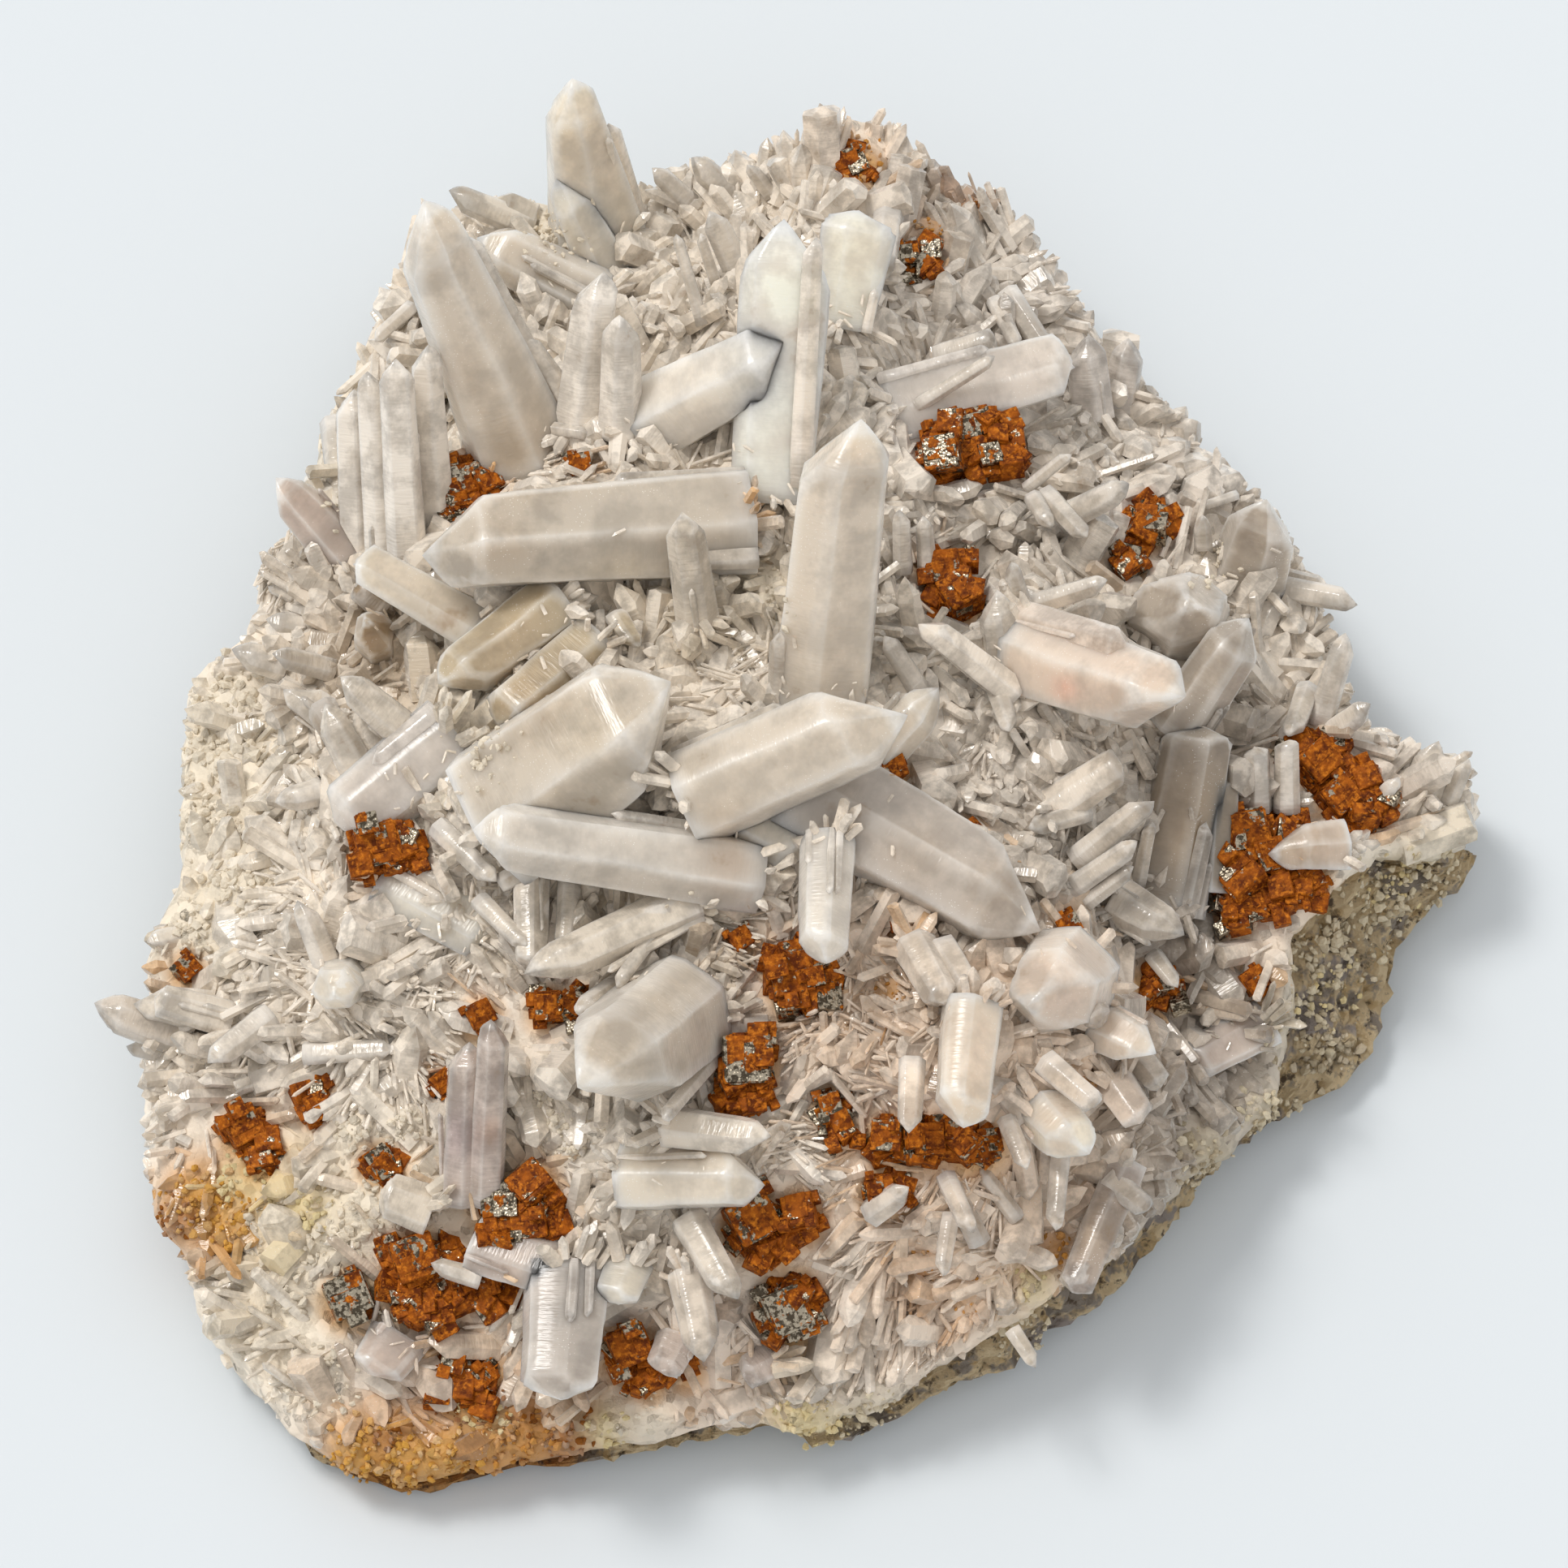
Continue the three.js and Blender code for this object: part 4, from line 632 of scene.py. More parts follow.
# The great quartz points: six-sided prisms, milky at the root and clearer at the tip, each closed
# by a pyramid whose faces differ in size. They grew out of the crust and lean all ways.
# Root column and row, tip column and row, width, rise of the tip over the root, height of the root
# over the crust, then what departs from a plain point.
POINTS = {
    "top_spire": (738, 305, 697, 99, 6.2, 19, -1, {"taper": 1.75}),
    "top_spire_front": (748, 338, 690, 220, 4.6, 9, 0, {"taper": 1.3}),
    "top_spire_side": (785, 285, 750, 150, 2.0, 14, -1, {"taper": 1.3}),
    "left_tower": (650, 570, 512, 252, 8.4, 22, -2, {"taper": 1.35}),
    "left_tower_side": (690, 510, 575, 290, 2.6, 16, 0, {}),
    "tower_wedge": (708, 505, 642, 412, 2.4, 5, 2, {}),
    "back_bar": (655, 278, 552, 238, 2.8, 4, 1, {}),
    "back_nub": (655, 270, 602, 243, 3.2, 2, 1, {"point": 0.5}),
    "back_log": (740, 372, 588, 292, 6.0, 3, 1, {}),
    "clear_left": (712, 528, 738, 333, 4.4, 12, 1, {}),
    "clear_right": (764, 538, 766, 390, 4.0, 10, 2, {}),
    "twin_small": (908, 330, 874, 258, 2.7, 5, 2, {}),
    "twin_sliver": (882, 348, 862, 288, 1.1, 4, 2, {}),
    "spine_sliver": (866, 400, 834, 288, 1.2, 5, 2, {}),
    "crown_left_a": (852, 252, 803, 206, 2.0, 3, 1, {}),
    "crown_left_b": (915, 250, 850, 197, 2.8, 4, 0, {}),
    "crown_left_c": (950, 240, 922, 202, 1.7, 3, 0, {}),
    "big_blade": (950, 620, 972, 270, 9.6, 12, 1, {"flat": 0.5, "taper": 0.85}),
    "blade_edge": (985, 600, 1002, 292, 2.4, 12, 3, {}),
    "fan_plate": (1036, 405, 1060, 262, 8.2, 5, 2, {"flat": 0.35, "blunt": True, "taper": 0.7}),
    "white_point": (800, 518, 972, 428, 8.8, 10, 2, {"taper": 1.15, "point": 0.4}),
    "centre_tower": (1008, 870, 1048, 515, 9.2, 22, 0, {"taper": 1.08, "point": 0.55}),
    "big_log": (922, 646, 520, 672, 10.4, 5, 2, {"taper": 1.1, "point": 0.5}),
    "sentinel": (862, 768, 842, 628, 3.9, 10, 3, {}),
    "smoky_left": (690, 742, 545, 848, 6.0, 1, 2, {"taper": 1.1, "point": 0.5}),
    "smoky_right": (735, 790, 612, 890, 6.6, 1, 1, {"blunt": True}),
    "great_point": (612, 1012, 838, 848, 14.5, 12, 2, {"taper": 1.05, "point": 0.5}),
    "right_point": (850, 985, 1114, 868, 9.8, 9, 4, {"taper": 1.0}),
    "right_point_back": (1075, 935, 1158, 850, 4.6, 4, 2, {}),
    "left_log": (935, 1075, 580, 1022, 7.2, 8, 2, {"taper": 1.1, "point": 0.5}),
    "diagonal_slab": (985, 962, 1290, 1135, 10.4, -1, 2, {"flat": 0.7}),
    "white_stub": (1020, 1035, 1014, 1185, 4.9, 3, 6, {"point": 0.4}),
    "pink_point": (1268, 802, 1463, 868, 9.4, 11, 2, {"taper": 1.15}),
    "pink_side": (1250, 762, 1396, 800, 3.8, 8, 4, {"point": 0.5}),
    "facing_hexagon": (1448, 775, 1456, 735, 9.8, 12, -2, {"point": 0.45}),
    "corner_hexagon": (1535, 715, 1566, 612, 7.6, 9, 1, {"point": 0.55}),
    "finger_right": (1560, 722, 1674, 742, 2.6, 3, 1, {}),
    "finger_up": (1625, 892, 1660, 781, 2.6, 6, 1, {}),
    "finger_fork": (1640, 905, 1691, 868, 2.7, 4, 1, {}),
    "arm_oval": (1612, 848, 1590, 908, 2.3, 3, 2, {}),
    "grey_slab_a": (1448, 905, 1542, 765, 5.8, 7, 1, {"point": 0.5}),
    "grey_slab_b": (1436, 1125, 1478, 895, 7.2, 7, 1, {"flat": 0.6, "blunt": True}),
    "grey_slab_c": (1490, 1100, 1500, 955, 4.6, 4, 1, {"blunt": True}),
    "arm_pair_a": (1550, 1000, 1548, 920, 2.9, 4, 1, {"blunt": True}),
    "arm_pair_b": (1586, 1002, 1586, 912, 2.5, 4, 1, {"blunt": True}),
    "arm_small": (1698, 992, 1722, 956, 1.8, 3, 1, {}),
    "arm_pink": (1655, 1040, 1562, 1046, 5.6, 2, 2, {"flat": 0.7}),
    "arm_smoky_tip": (1752, 978, 1775, 912, 4.0, 4, 0, {}),
    "arm_far_tip": (1785, 990, 1808, 934, 1.8, 3, 1, {}),
    "glass_a": (1308, 640, 1391, 598, 2.7, 5, 3, {}),
    "glass_b": (1288, 608, 1340, 664, 2.0, 3, 4, {}),
    "glass_c": (1265, 602, 1319, 558, 1.3, 4, 3, {}),
    "glass_d": (1272, 612, 1294, 650, 1.7, 2, 4, {}),
    "glass_e": (1262, 748, 1366, 716, 2.3, 4, 3, {}),
    "glass_f": (1270, 775, 1244, 694, 1.9, 6, 2, {}),
    "glass_g": (1250, 855, 1134, 766, 3.1, 7, 3, {}),
    "glass_h": (1132, 850, 1088, 782, 2.1, 5, 2, {}),
    "glass_i": (1240, 835, 1224, 728, 3.7, 6, 1, {}),
    "glass_j": (1113, 705, 1110, 628, 1.9, 5, 1, {}),
    "glass_k": (1143, 705, 1138, 634, 1.8, 4, 1, {}),
    "brush_a": (1325, 1062, 1420, 984, 2.7, 5, 2, {}),
    "brush_b": (1320, 1095, 1402, 1038, 2.0, 4, 2, {}),
    "brush_c": (1338, 1112, 1398, 1068, 1.6, 3, 2, {}),
    "brush_d": (1402, 1090, 1418, 1012, 1.5, 5, 1, {}),
    "brush_e": (1290, 1000, 1382, 940, 4.2, 4, 1, {"flat": 0.6, "blunt": True}),
    "brush_f": (1340, 1000, 1265, 1022, 2.0, 3, 3, {}),
    "broken_slab": (1092, 508, 1322, 444, 7.4, 1, 1, {"flat": 0.42, "blunt": True}),
    "slab_strip": (1130, 500, 1226, 440, 1.4, 4, 4, {}),
    "far_shard": (1155, 440, 1226, 416, 2.6, 3, 2, {"blunt": True}),
    "far_pair_a": (1346, 515, 1336, 414, 4.0, 6, 1, {"point": 0.5}),
    "far_pair_b": (1376, 505, 1394, 418, 3.4, 5, 0, {"point": 0.5}),
    "left_finger": (432, 690, 338, 588, 4.7, 6, 1, {"taper": 1.2}),
    "left_nub_a": (350, 822, 285, 803, 3.0, 2, 1, {}),
    "left_nub_c": (362, 735, 331, 720, 1.8, 1, 0, {}),
    "left_nub_d": (375, 775, 327, 764, 2.8, 1, 0, {}),
    "out_left": (225, 1278, 115, 1240, 4.0, 3, 0, {}),
    "out_left_under": (220, 1302, 156, 1286, 2.3, 0, -1, {}),
    "out_left_nub": (222, 1150, 180, 1162, 2.4, 1, 0, {}),
    "organ_a": (440, 700, 432, 480, 3.3, 13, 0, {}),
    "organ_b": (472, 702, 457, 458, 3.4, 15, 1, {}),
    "organ_c": (503, 690, 488, 440, 3.6, 15, 2, {}),
    "organ_d": (540, 650, 524, 425, 3.2, 14, 0, {}),
    "grooved_slab": (590, 778, 438, 690, 4.9, 2, 3, {"flat": 0.6, "blunt": True}),
    "oval_a": (502, 905, 418, 834, 3.7, 4, 2, {}),
    "oval_b": (448, 958, 397, 868, 3.3, 4, 1, {}),
    "oval_c": (405, 885, 352, 845, 3.9, 2, 1, {}),
    "oval_d": (410, 825, 334, 806, 2.4, 3, 1, {}),
    "blue_slab": (562, 905, 418, 1020, 8.6, -2, 0, {"flat": 0.45, "blunt": True}),
    "step_prism_a": (590, 1108, 650, 1168, 1.8, 2, 3, {}),
    "step_prism_b": (540, 1018, 612, 1088, 2.2, 2, 3, {}),
    "step_block": (618, 1088, 662, 1064, 2.0, 2, 3, {"blunt": True}),
    "hanging_pair_a": (655, 1085, 655, 1192, 3.3, 0, 2, {"blunt": True}),
    "hanging_pair_b": (702, 1085, 696, 1162, 2.1, 0, 2, {"blunt": True}),
    "ridge_prism": (855, 1110, 648, 1203, 4.2, 2, 2, {"point": 0.9}),
    "ridge_needle": (812, 1142, 758, 1216, 1.7, 2, 3, {}),
    "lower_great_point": (838, 1240, 706, 1352, 12.6, 13, 1, {"point": 0.8, "taper": 0.95}),
    "twin_spire_a": (566, 1482, 574, 1284, 3.4, 11, 1, {}),
    "twin_spire_b": (598, 1482, 609, 1257, 3.3, 13, 1, {}),
    "low_point_upper": (822, 1386, 952, 1402, 3.8, 4, 4, {}),
    "low_point": (768, 1452, 942, 1452, 6.0, 5, 3, {"point": 0.5}),
    "white_plate": (702, 1560, 690, 1722, 8.0, 1, 3, {"flat": 0.45, "blunt": True}),
    "smoky_plate": (585, 1528, 688, 1566, 5.8, 1, 2, {"flat": 0.45, "blunt": True}),
    "lilac_shard": (592, 1576, 530, 1558, 1.9, 1, 3, {}),
    "tan_shard": (848, 1500, 906, 1602, 3.2, 1, 2, {}),
    "pale_shard": (846, 1568, 868, 1680, 3.7, 0, 3, {}),
    "facing_lower": (1322, 1200, 1278, 1240, 9.6, 8, 1, {"point": 0.5}),
    "down_prism": (1196, 1238, 1180, 1388, 5.7, 1, 4, {"point": 0.4}),
    "glass_down": (1124, 1306, 1120, 1398, 2.3, 1, 5, {}),
    "edge_prism": (1288, 1308, 1352, 1362, 2.7, 2, 3, {"blunt": True}),
    "pink_lower": (1285, 1368, 1336, 1424, 5.6, 3, 2, {"point": 0.5}),
    "brow_plate_a": (1352, 1262, 1426, 1300, 4.9, 2, 2, {"flat": 0.6}),
    "brow_plate_b": (1372, 1330, 1408, 1382, 4.0, 1, 2, {"flat": 0.6, "blunt": True}),
    "hanging_prism": (1306, 1420, 1298, 1516, 2.1, 0, 4, {}),
    "sliver_a": (1240, 1378, 1266, 1442, 1.8, 1, 3, {}),
    "sliver_b": (1208, 1532, 1166, 1448, 2.1, 4, 2, {}),
    "sliver_c": (1172, 1498, 1160, 1572, 1.8, 1, 4, {}),
    "sliver_d": (1072, 1496, 1122, 1462, 2.6, 4, 2, {}),
    "sliver_e": (1254, 1502, 1206, 1440, 1.6, 3, 2, {}),
    "ledge_slab": (1388, 1432, 1322, 1592, 4.2, -1, 2, {"blunt": True}),
    "ledge_stub": (1366, 1452, 1414, 1492, 2.4, 1, 3, {"blunt": True}),
    "ledge_spike": (1248, 1638, 1278, 1684, 1.7, 0, 2, {}),
    "arm_prism": (1376, 1108, 1456, 1156, 4.3, 1, 2, {}),
    "arm_glass": (1420, 1176, 1452, 1218, 1.7, 1, 3, {}),
    "ledge_plate": (1562, 1258, 1468, 1308, 4.8, 1, 1, {"flat": 0.4, "blunt": True}),
    "facing_small": (424, 1206, 406, 1226, 4.6, 5, 1, {"point": 0.4}),
    "basin_slab_a": (334, 1252, 256, 1312, 2.8, 1, 2, {}),
    "basin_slab_c": (285, 1256, 190, 1230, 3.6, 2, 1, {"blunt": True}),
    "basin_prism": (406, 1198, 370, 1108, 2.8, 4, 1, {}),
    "basin_plate": (478, 1076, 606, 1152, 7.0, 1, 1, {"flat": 0.4, "blunt": True}),
    "heart_small": (642, 522, 730, 535, 1.5, 2, 3, {}),
    "back_small": (508, 378, 460, 420, 1.6, 2, 2, {}),
    "left_stub": (412, 520, 425, 650, 2.8, 3, 1, {"blunt": True}),
    "crown_prism": (1095, 265, 1085, 345, 2.8, 3, 2, {}),
    "lens": (758, 757, 785, 800, 2.2, 1, 3, {"flat": 0.6}),
    "under_slab": (870, 975, 1000, 1050, 6.4, 0, 2, {"flat": 0.6, "blunt": True}),
    "right_stub": (1228, 850, 1245, 900, 2.0, 2, 3, {}),
    "glass_l": (1510, 582, 1478, 610, 1.2, 2, 2, {}),
    "glass_m": (1523, 610, 1478, 625, 1.1, 2, 2, {}),
    "glass_n": (1483, 675, 1480, 635, 1.6, 3, 2, {}),
    "back_right_a": (1240, 360, 1300, 450, 2.4, 1, 2, {}),
    "back_right_b": (1225, 370, 1255, 430, 1.6, 2, 2, {}),
    "smoky_facing": (464, 792, 455, 768, 4.8, 5, 1, {"point": 0.45}),
    "smoky_block": (474, 748, 438, 720, 2.8, 2, 2, {"blunt": True}),
    "smoky_prism": (395, 870, 445, 955, 2.8, 1, 3, {}),
    "left_prism": (397, 975, 340, 990, 2.8, 1, 2, {}),
    "out_prism": (265, 1248, 165, 1232, 3.6, 2, 0, {"taper": 1.2}),
    "basin_needle": (375, 1298, 488, 1292, 2.2, 2, 2, {}),
    "beige_block": (532, 1492, 468, 1468, 4.4, 1, 2, {"flat": 0.5, "blunt": True}),
    "white_block": (776, 1556, 756, 1606, 4.6, 1, 2, {"flat": 0.6, "blunt": True}),
    "lilac_block": (836, 1648, 816, 1692, 4.0, 1, 2, {"flat": 0.6, "blunt": True}),
    "lilac_plate": (492, 1648, 460, 1694, 5.2, 1, 1, {"flat": 0.5, "blunt": True}),
    "fore_lilac": (952, 1674, 914, 1694, 3.8, 1, 1, {"flat": 0.6, "blunt": True}),
    "pale_prism_a": (1125, 1163, 1168, 1240, 4.0, 3, 3, {"point": 0.4}),
    "pale_prism_b": (1160, 1165, 1202, 1232, 2.8, 3, 3, {}),
    "brow_side": (1265, 1375, 1217, 1320, 2.8, 3, 2, {}),
    "brow_edge_a": (1330, 1222, 1357, 1260, 3.0, 2, 2, {"blunt": True}),
    "brow_edge_b": (1398, 1298, 1432, 1338, 3.2, 1, 2, {"blunt": True}),
    "lower_sliver": (1165, 1450, 1197, 1520, 2.0, 2, 2, {}),
}
PLAIN_LIGHTNESS = 0.83
# Points that are lighter or darker than the others. This is partly their own clearer white or
# duller tone, and partly painted light: points that face the lamp are dimmed, and points in shade
# are made paler.
POINT_LIGHTNESS_AND_PAINTED_SHADE = {
    1.0: ["big_blade", "blade_edge", "clear_left", "clear_right", "organ_a", "organ_b", "organ_c",
          "organ_d", "top_spire_side", "fan_plate", "pink_lower", "glass_down", "glass_g", "brush_e"],
    0.88: ["white_point", "low_point_upper", "ridge_prism", "basin_plate", "out_left", "out_prism",
           "white_block"],
    0.78: ["centre_tower", "facing_lower", "white_stub"],
    0.72: ["right_point", "left_tower", "left_tower_side", "left_log", "right_point_back",
           "diagonal_slab"],
    0.67: ["lower_great_point", "great_point", "back_log", "corner_hexagon", "arm_pink", "ledge_slab",
           "smoky_plate", "facing_hexagon"],
    0.62: ["big_log", "white_plate"],
    0.48: ["grey_slab_a", "grey_slab_b", "grey_slab_c"],
}
LONGEST_END = 0.7
APEX_OFFSET = 0.24
TURN_STEP = 0.7
SOFTNESS = 46  # of the edges, which is rounder where it is less
GROWTH_STEP = 0.007  # of a point's width
UNEVEN = 0.006
FINE_WIDTH = 3
GREAT_WIDTH = 4.4
ROOTED_WIDTH = 3.6  # of the points that have small crystals round their roots
FLANKED_WIDTH = 3.2  # of the points that have others grown along their sides
# The points that differ in tone from the quartz at their roots.
POINT_TONES = {
    OLIVE: ["smoky_left", "smoky_right", "lens"],
    SMOKY: ["smoky_facing", "smoky_block", "smoky_prism"],
    GREY: ["facing_hexagon", "corner_hexagon", "grey_slab_a", "grey_slab_b", "grey_slab_c", "out_left"],
    BLUSH: ["pink_point", "pink_side", "facing_lower", "pink_lower", "brow_plate_a", "brow_plate_b",
            "arm_pink"],
    LILAC: ["smoky_plate", "lilac_block", "lilac_plate", "fore_lilac", "ledge_slab", "ledge_plate",
            "twin_spire_a", "twin_spire_b", "left_finger"],
    BLUE_GREY: ["blue_slab", "broken_slab", "white_plate", "far_pair_a", "far_pair_b", "diagonal_slab"],
    WHITE: ["white_point", "left_log", "white_stub", "clear_left", "clear_right", "big_blade", "organ_a",
            "organ_b", "organ_c", "organ_d"],
}
# Stains and smoky zones inside the points, as (column, row, reach in pixels, colour, strength).
POINT_STAINS = [
    (1312, 850, 16, (0.85, 0.42, 0.28), 0.45), (1015, 540, 34, (0.80, 0.56, 0.34), 0.45),
    (565, 1400, 34, (0.48, 0.36, 0.36), 0.55), (604, 1395, 18, (0.66, 0.36, 0.2), 0.4),
    (560, 470, 40, SMOKY, 0.3), (640, 560, 60, SMOKY, 0.35), (620, 670, 34, SMOKY, 0.35),
    (1130, 1050, 50, SMOKY, 0.3), (1235, 1085, 40, SMOKY, 0.35), (900, 1020, 34, SMOKY, 0.4),
    (900, 1060, 40, (0.62, 0.42, 0.28), 0.35), (640, 800, 50, SMOKY, 0.3), (650, 870, 44, SMOKY, 0.5),
    (1470, 1010, 90, SMOKY, 0.5), (1505, 830, 40, GREY, 0.5), (1350, 1520, 60, SMOKY, 0.45),
    (770, 720, 40, OLIVE, 0.5), (1215, 1130, 40, SMOKY, 0.2), (1600, 1045, 40, SMOKY, 0.35),
    (735, 900, 60, OLIVE, 0.3), (760, 1380, 60, YELLOW, 0.12), (640, 1550, 40, LILAC, 0.8),
]
tone_of_point = {name: tone for tone, names in POINT_TONES.items() for name in names}
lightness_and_shade_of_point = {name: light for light, names in POINT_LIGHTNESS_AND_PAINTED_SHADE.items() for name in names}


def point_planes(length, width, turn, chance, taper=1.08, blunt=False, point=0.62):
    """The faces of a quartz point along +Z: six of the prism, then the pyramid or the break."""
    radius = width / 2 * 0.94
    end = min(point * width, LONGEST_END * length) * (0.25 if blunt else 1)
    shoulder = length - end
    bearings = turn + np.arange(6) * math.pi / 3
    tilt = np.arctan2((taper - 1) * radius, shoulder)
    outward = np.stack([np.cos(bearings), np.sin(bearings), np.zeros(6)], 1)
    prism = outward * np.cos(tilt) + [0, 0, np.sin(tilt)]
    prism_at = radius * chance.uniform(0.88, 1.08, 6) * np.cos(tilt) + shoulder * np.sin(tilt)
    apex = np.array([math.cos(turn * 3), math.sin(turn * 3), 0]) * APEX_OFFSET * radius + [0, 0, length]
    if blunt:
        broken = outward * 0.55 * chance.uniform(0.2, 1.2, (6, 1))
        top = np.concatenate([broken, np.zeros((1, 3))]) + [0, 0, 1]
        top /= np.linalg.norm(top, axis=1)[:, None]
        top_at = top[:, 2] * length + chance.uniform(0, 0.5, 7) * end
    else:
        top = outward * end + [0, 0, radius]
        top /= np.linalg.norm(top, axis=1)[:, None]
        top_at = top @ apex + radius * np.where(np.arange(6) % 2, 0.0, chance.uniform(0.04, 0.2, 6))
    return np.concatenate([prism, top]), np.concatenate([prism_at, top_at]), shoulder, apex


def faceted(normals, offsets):
    """Corners and faces of the body that plane cuts leave."""
    triples = np.array(list(combinations(range(len(normals)), 3)))
    walls = normals[triples]
    clean = np.abs(np.linalg.det(walls)) > 1e-4
    met = np.linalg.solve(walls[clean], offsets[triples[clean]][..., None])[..., 0]
    met = met[(met @ normals.T <= offsets + 1e-6).all(1)]
    corners = np.unique(np.round(met, 5), axis=0)
    faces = []
    for normal, offset in zip(normals, offsets):
        on = np.flatnonzero(np.abs(corners @ normal - offset) < 1e-3)
        if len(on) < 3:
            continue
        side = np.cross(normal, normal[[1, 2, 0]] + 0.1)
        side /= np.linalg.norm(side)
        spread = corners[on] - corners[on].mean(0)
        order = np.argsort(np.arctan2(spread @ np.cross(normal, side), spread @ side))
        faces.append(on[order].tolist())
    return corners, faces


def grown_point(length, width, turn, chance, flat=0.86, fine=True, **shape):
    """A quartz point along +Z with worn edges, and steps of growth across its sides."""
    normals, offsets, shoulder, apex = point_planes(length, width, turn, chance, **shape)
    across = np.radians([-28, -14, 0, 14, 28] if fine else [-26, 0, 26])
    around = (turn + np.arange(6)[:, None] * math.pi / 3 + across).ravel()
    outward = np.stack([np.cos(around), np.sin(around), 0 * around], 1)
    rise = np.linspace(0, 0.96, 16 if fine else 6) * shoulder
    tilt = np.linspace(0, 1, 9 if fine else 6)[1:-1]
    start = np.zeros((len(rise) + len(tilt), 3))
    start[:, 2] = np.concatenate([rise, np.full(len(tilt), rise[-1])])
    lifted = np.concatenate([0 * rise, tilt])[:, None, None] * math.pi / 2
    up = (apex - start[-1]) / np.linalg.norm(apex - start[-1])
    sight = outward * np.cos(lifted) + up * np.sin(lifted)
    sight /= np.linalg.norm(sight, axis=2, keepdims=True)
    room = offsets - start @ normals.T
    facing = np.maximum(sight @ normals.T, 1e-6)
    out = ((facing / room[:, None]) ** SOFTNESS).sum(2) ** (-1 / SOFTNESS)
    tops = chance.uniform(0.1, 1, (6, 4)) * shoulder
    passed = (start[:, 2, None, None] > tops).sum(2)
    out -= GROWTH_STEP * width * np.repeat(passed, len(across), 1) * np.cos(lifted[..., 0])
    wave = rough((start[:, None] + sight * out[..., None]).reshape(-1, 3) + turn * 50, width * 0.9, 3)
    out += UNEVEN * width * wave.reshape(out.shape)
    skin = start[:, None] + sight * out[..., None]
    corners, faces = ring_skin(*np.moveaxis(skin, 2, 0), tip=apex)
    return corners * [1, flat, 1], faces


def stained(points, tone):
    """The tone of a point, with the stains and smoky zones that show in it."""
    tones = np.broadcast_to(tone, points.shape)
    columns, rows = seen_at(points)
    for column, row, reach_px, colour, strength in POINT_STAINS:
        share = strength * near_spot(columns, rows, column, row, reach_px**2)
        tones = tones + (np.array(colour) - tones) * share[:, None]
    return tones


def stood(root, tip):
    """The turn that lays a body's +Z along a point from root to tip, its flat side up."""
    along = (tip - root) / np.linalg.norm(tip - root)
    side = np.cross(along, [0, 0, 1])
    side /= np.linalg.norm(side)
    return np.stack([side, np.cross(along, side), along])


class Growth:
    """Crystals of one piece, gathered as corners, faces and the values that their finish reads."""

    def __init__(self):
        self.corners, self.faces, self.grain, self.tone, self.reach = [], [], [], [], []
        self.count = 0

    def add(self, corners, faces, grain, tone, reach):
        self.corners.append(corners)
        self.faces.extend((faces + self.count).tolist() if isinstance(faces, np.ndarray)
                          else [[corner + self.count for corner in face] for face in faces])
        self.grain.append(grain)
        self.tone.append(np.broadcast_to(tone, corners.shape))
        self.reach.append(reach)
        self.count += len(corners)

    def piece(self, name):
        values = [np.concatenate(rows) for rows in (self.corners, self.grain, self.tone, self.reach)]
        return meshed(name, values[0], self.faces, grain=values[1], tone=values[2], reach=values[3])


GLOW_REACH = 3.6
GLOW_TONE = (1.0, 0.98, 0.95)
PAINTED_RIM_LIGHT_TONE = (0.95, 0.91, 0.85, 1)
FROSTED_TONE = (0.98, 0.96, 0.93, 1)
WORN_EDGE_HIGHLIGHT_TONE = (0.94, 0.90, 0.85, 1)
IRON_TONE = (0.40, 0.26, 0.14, 1)


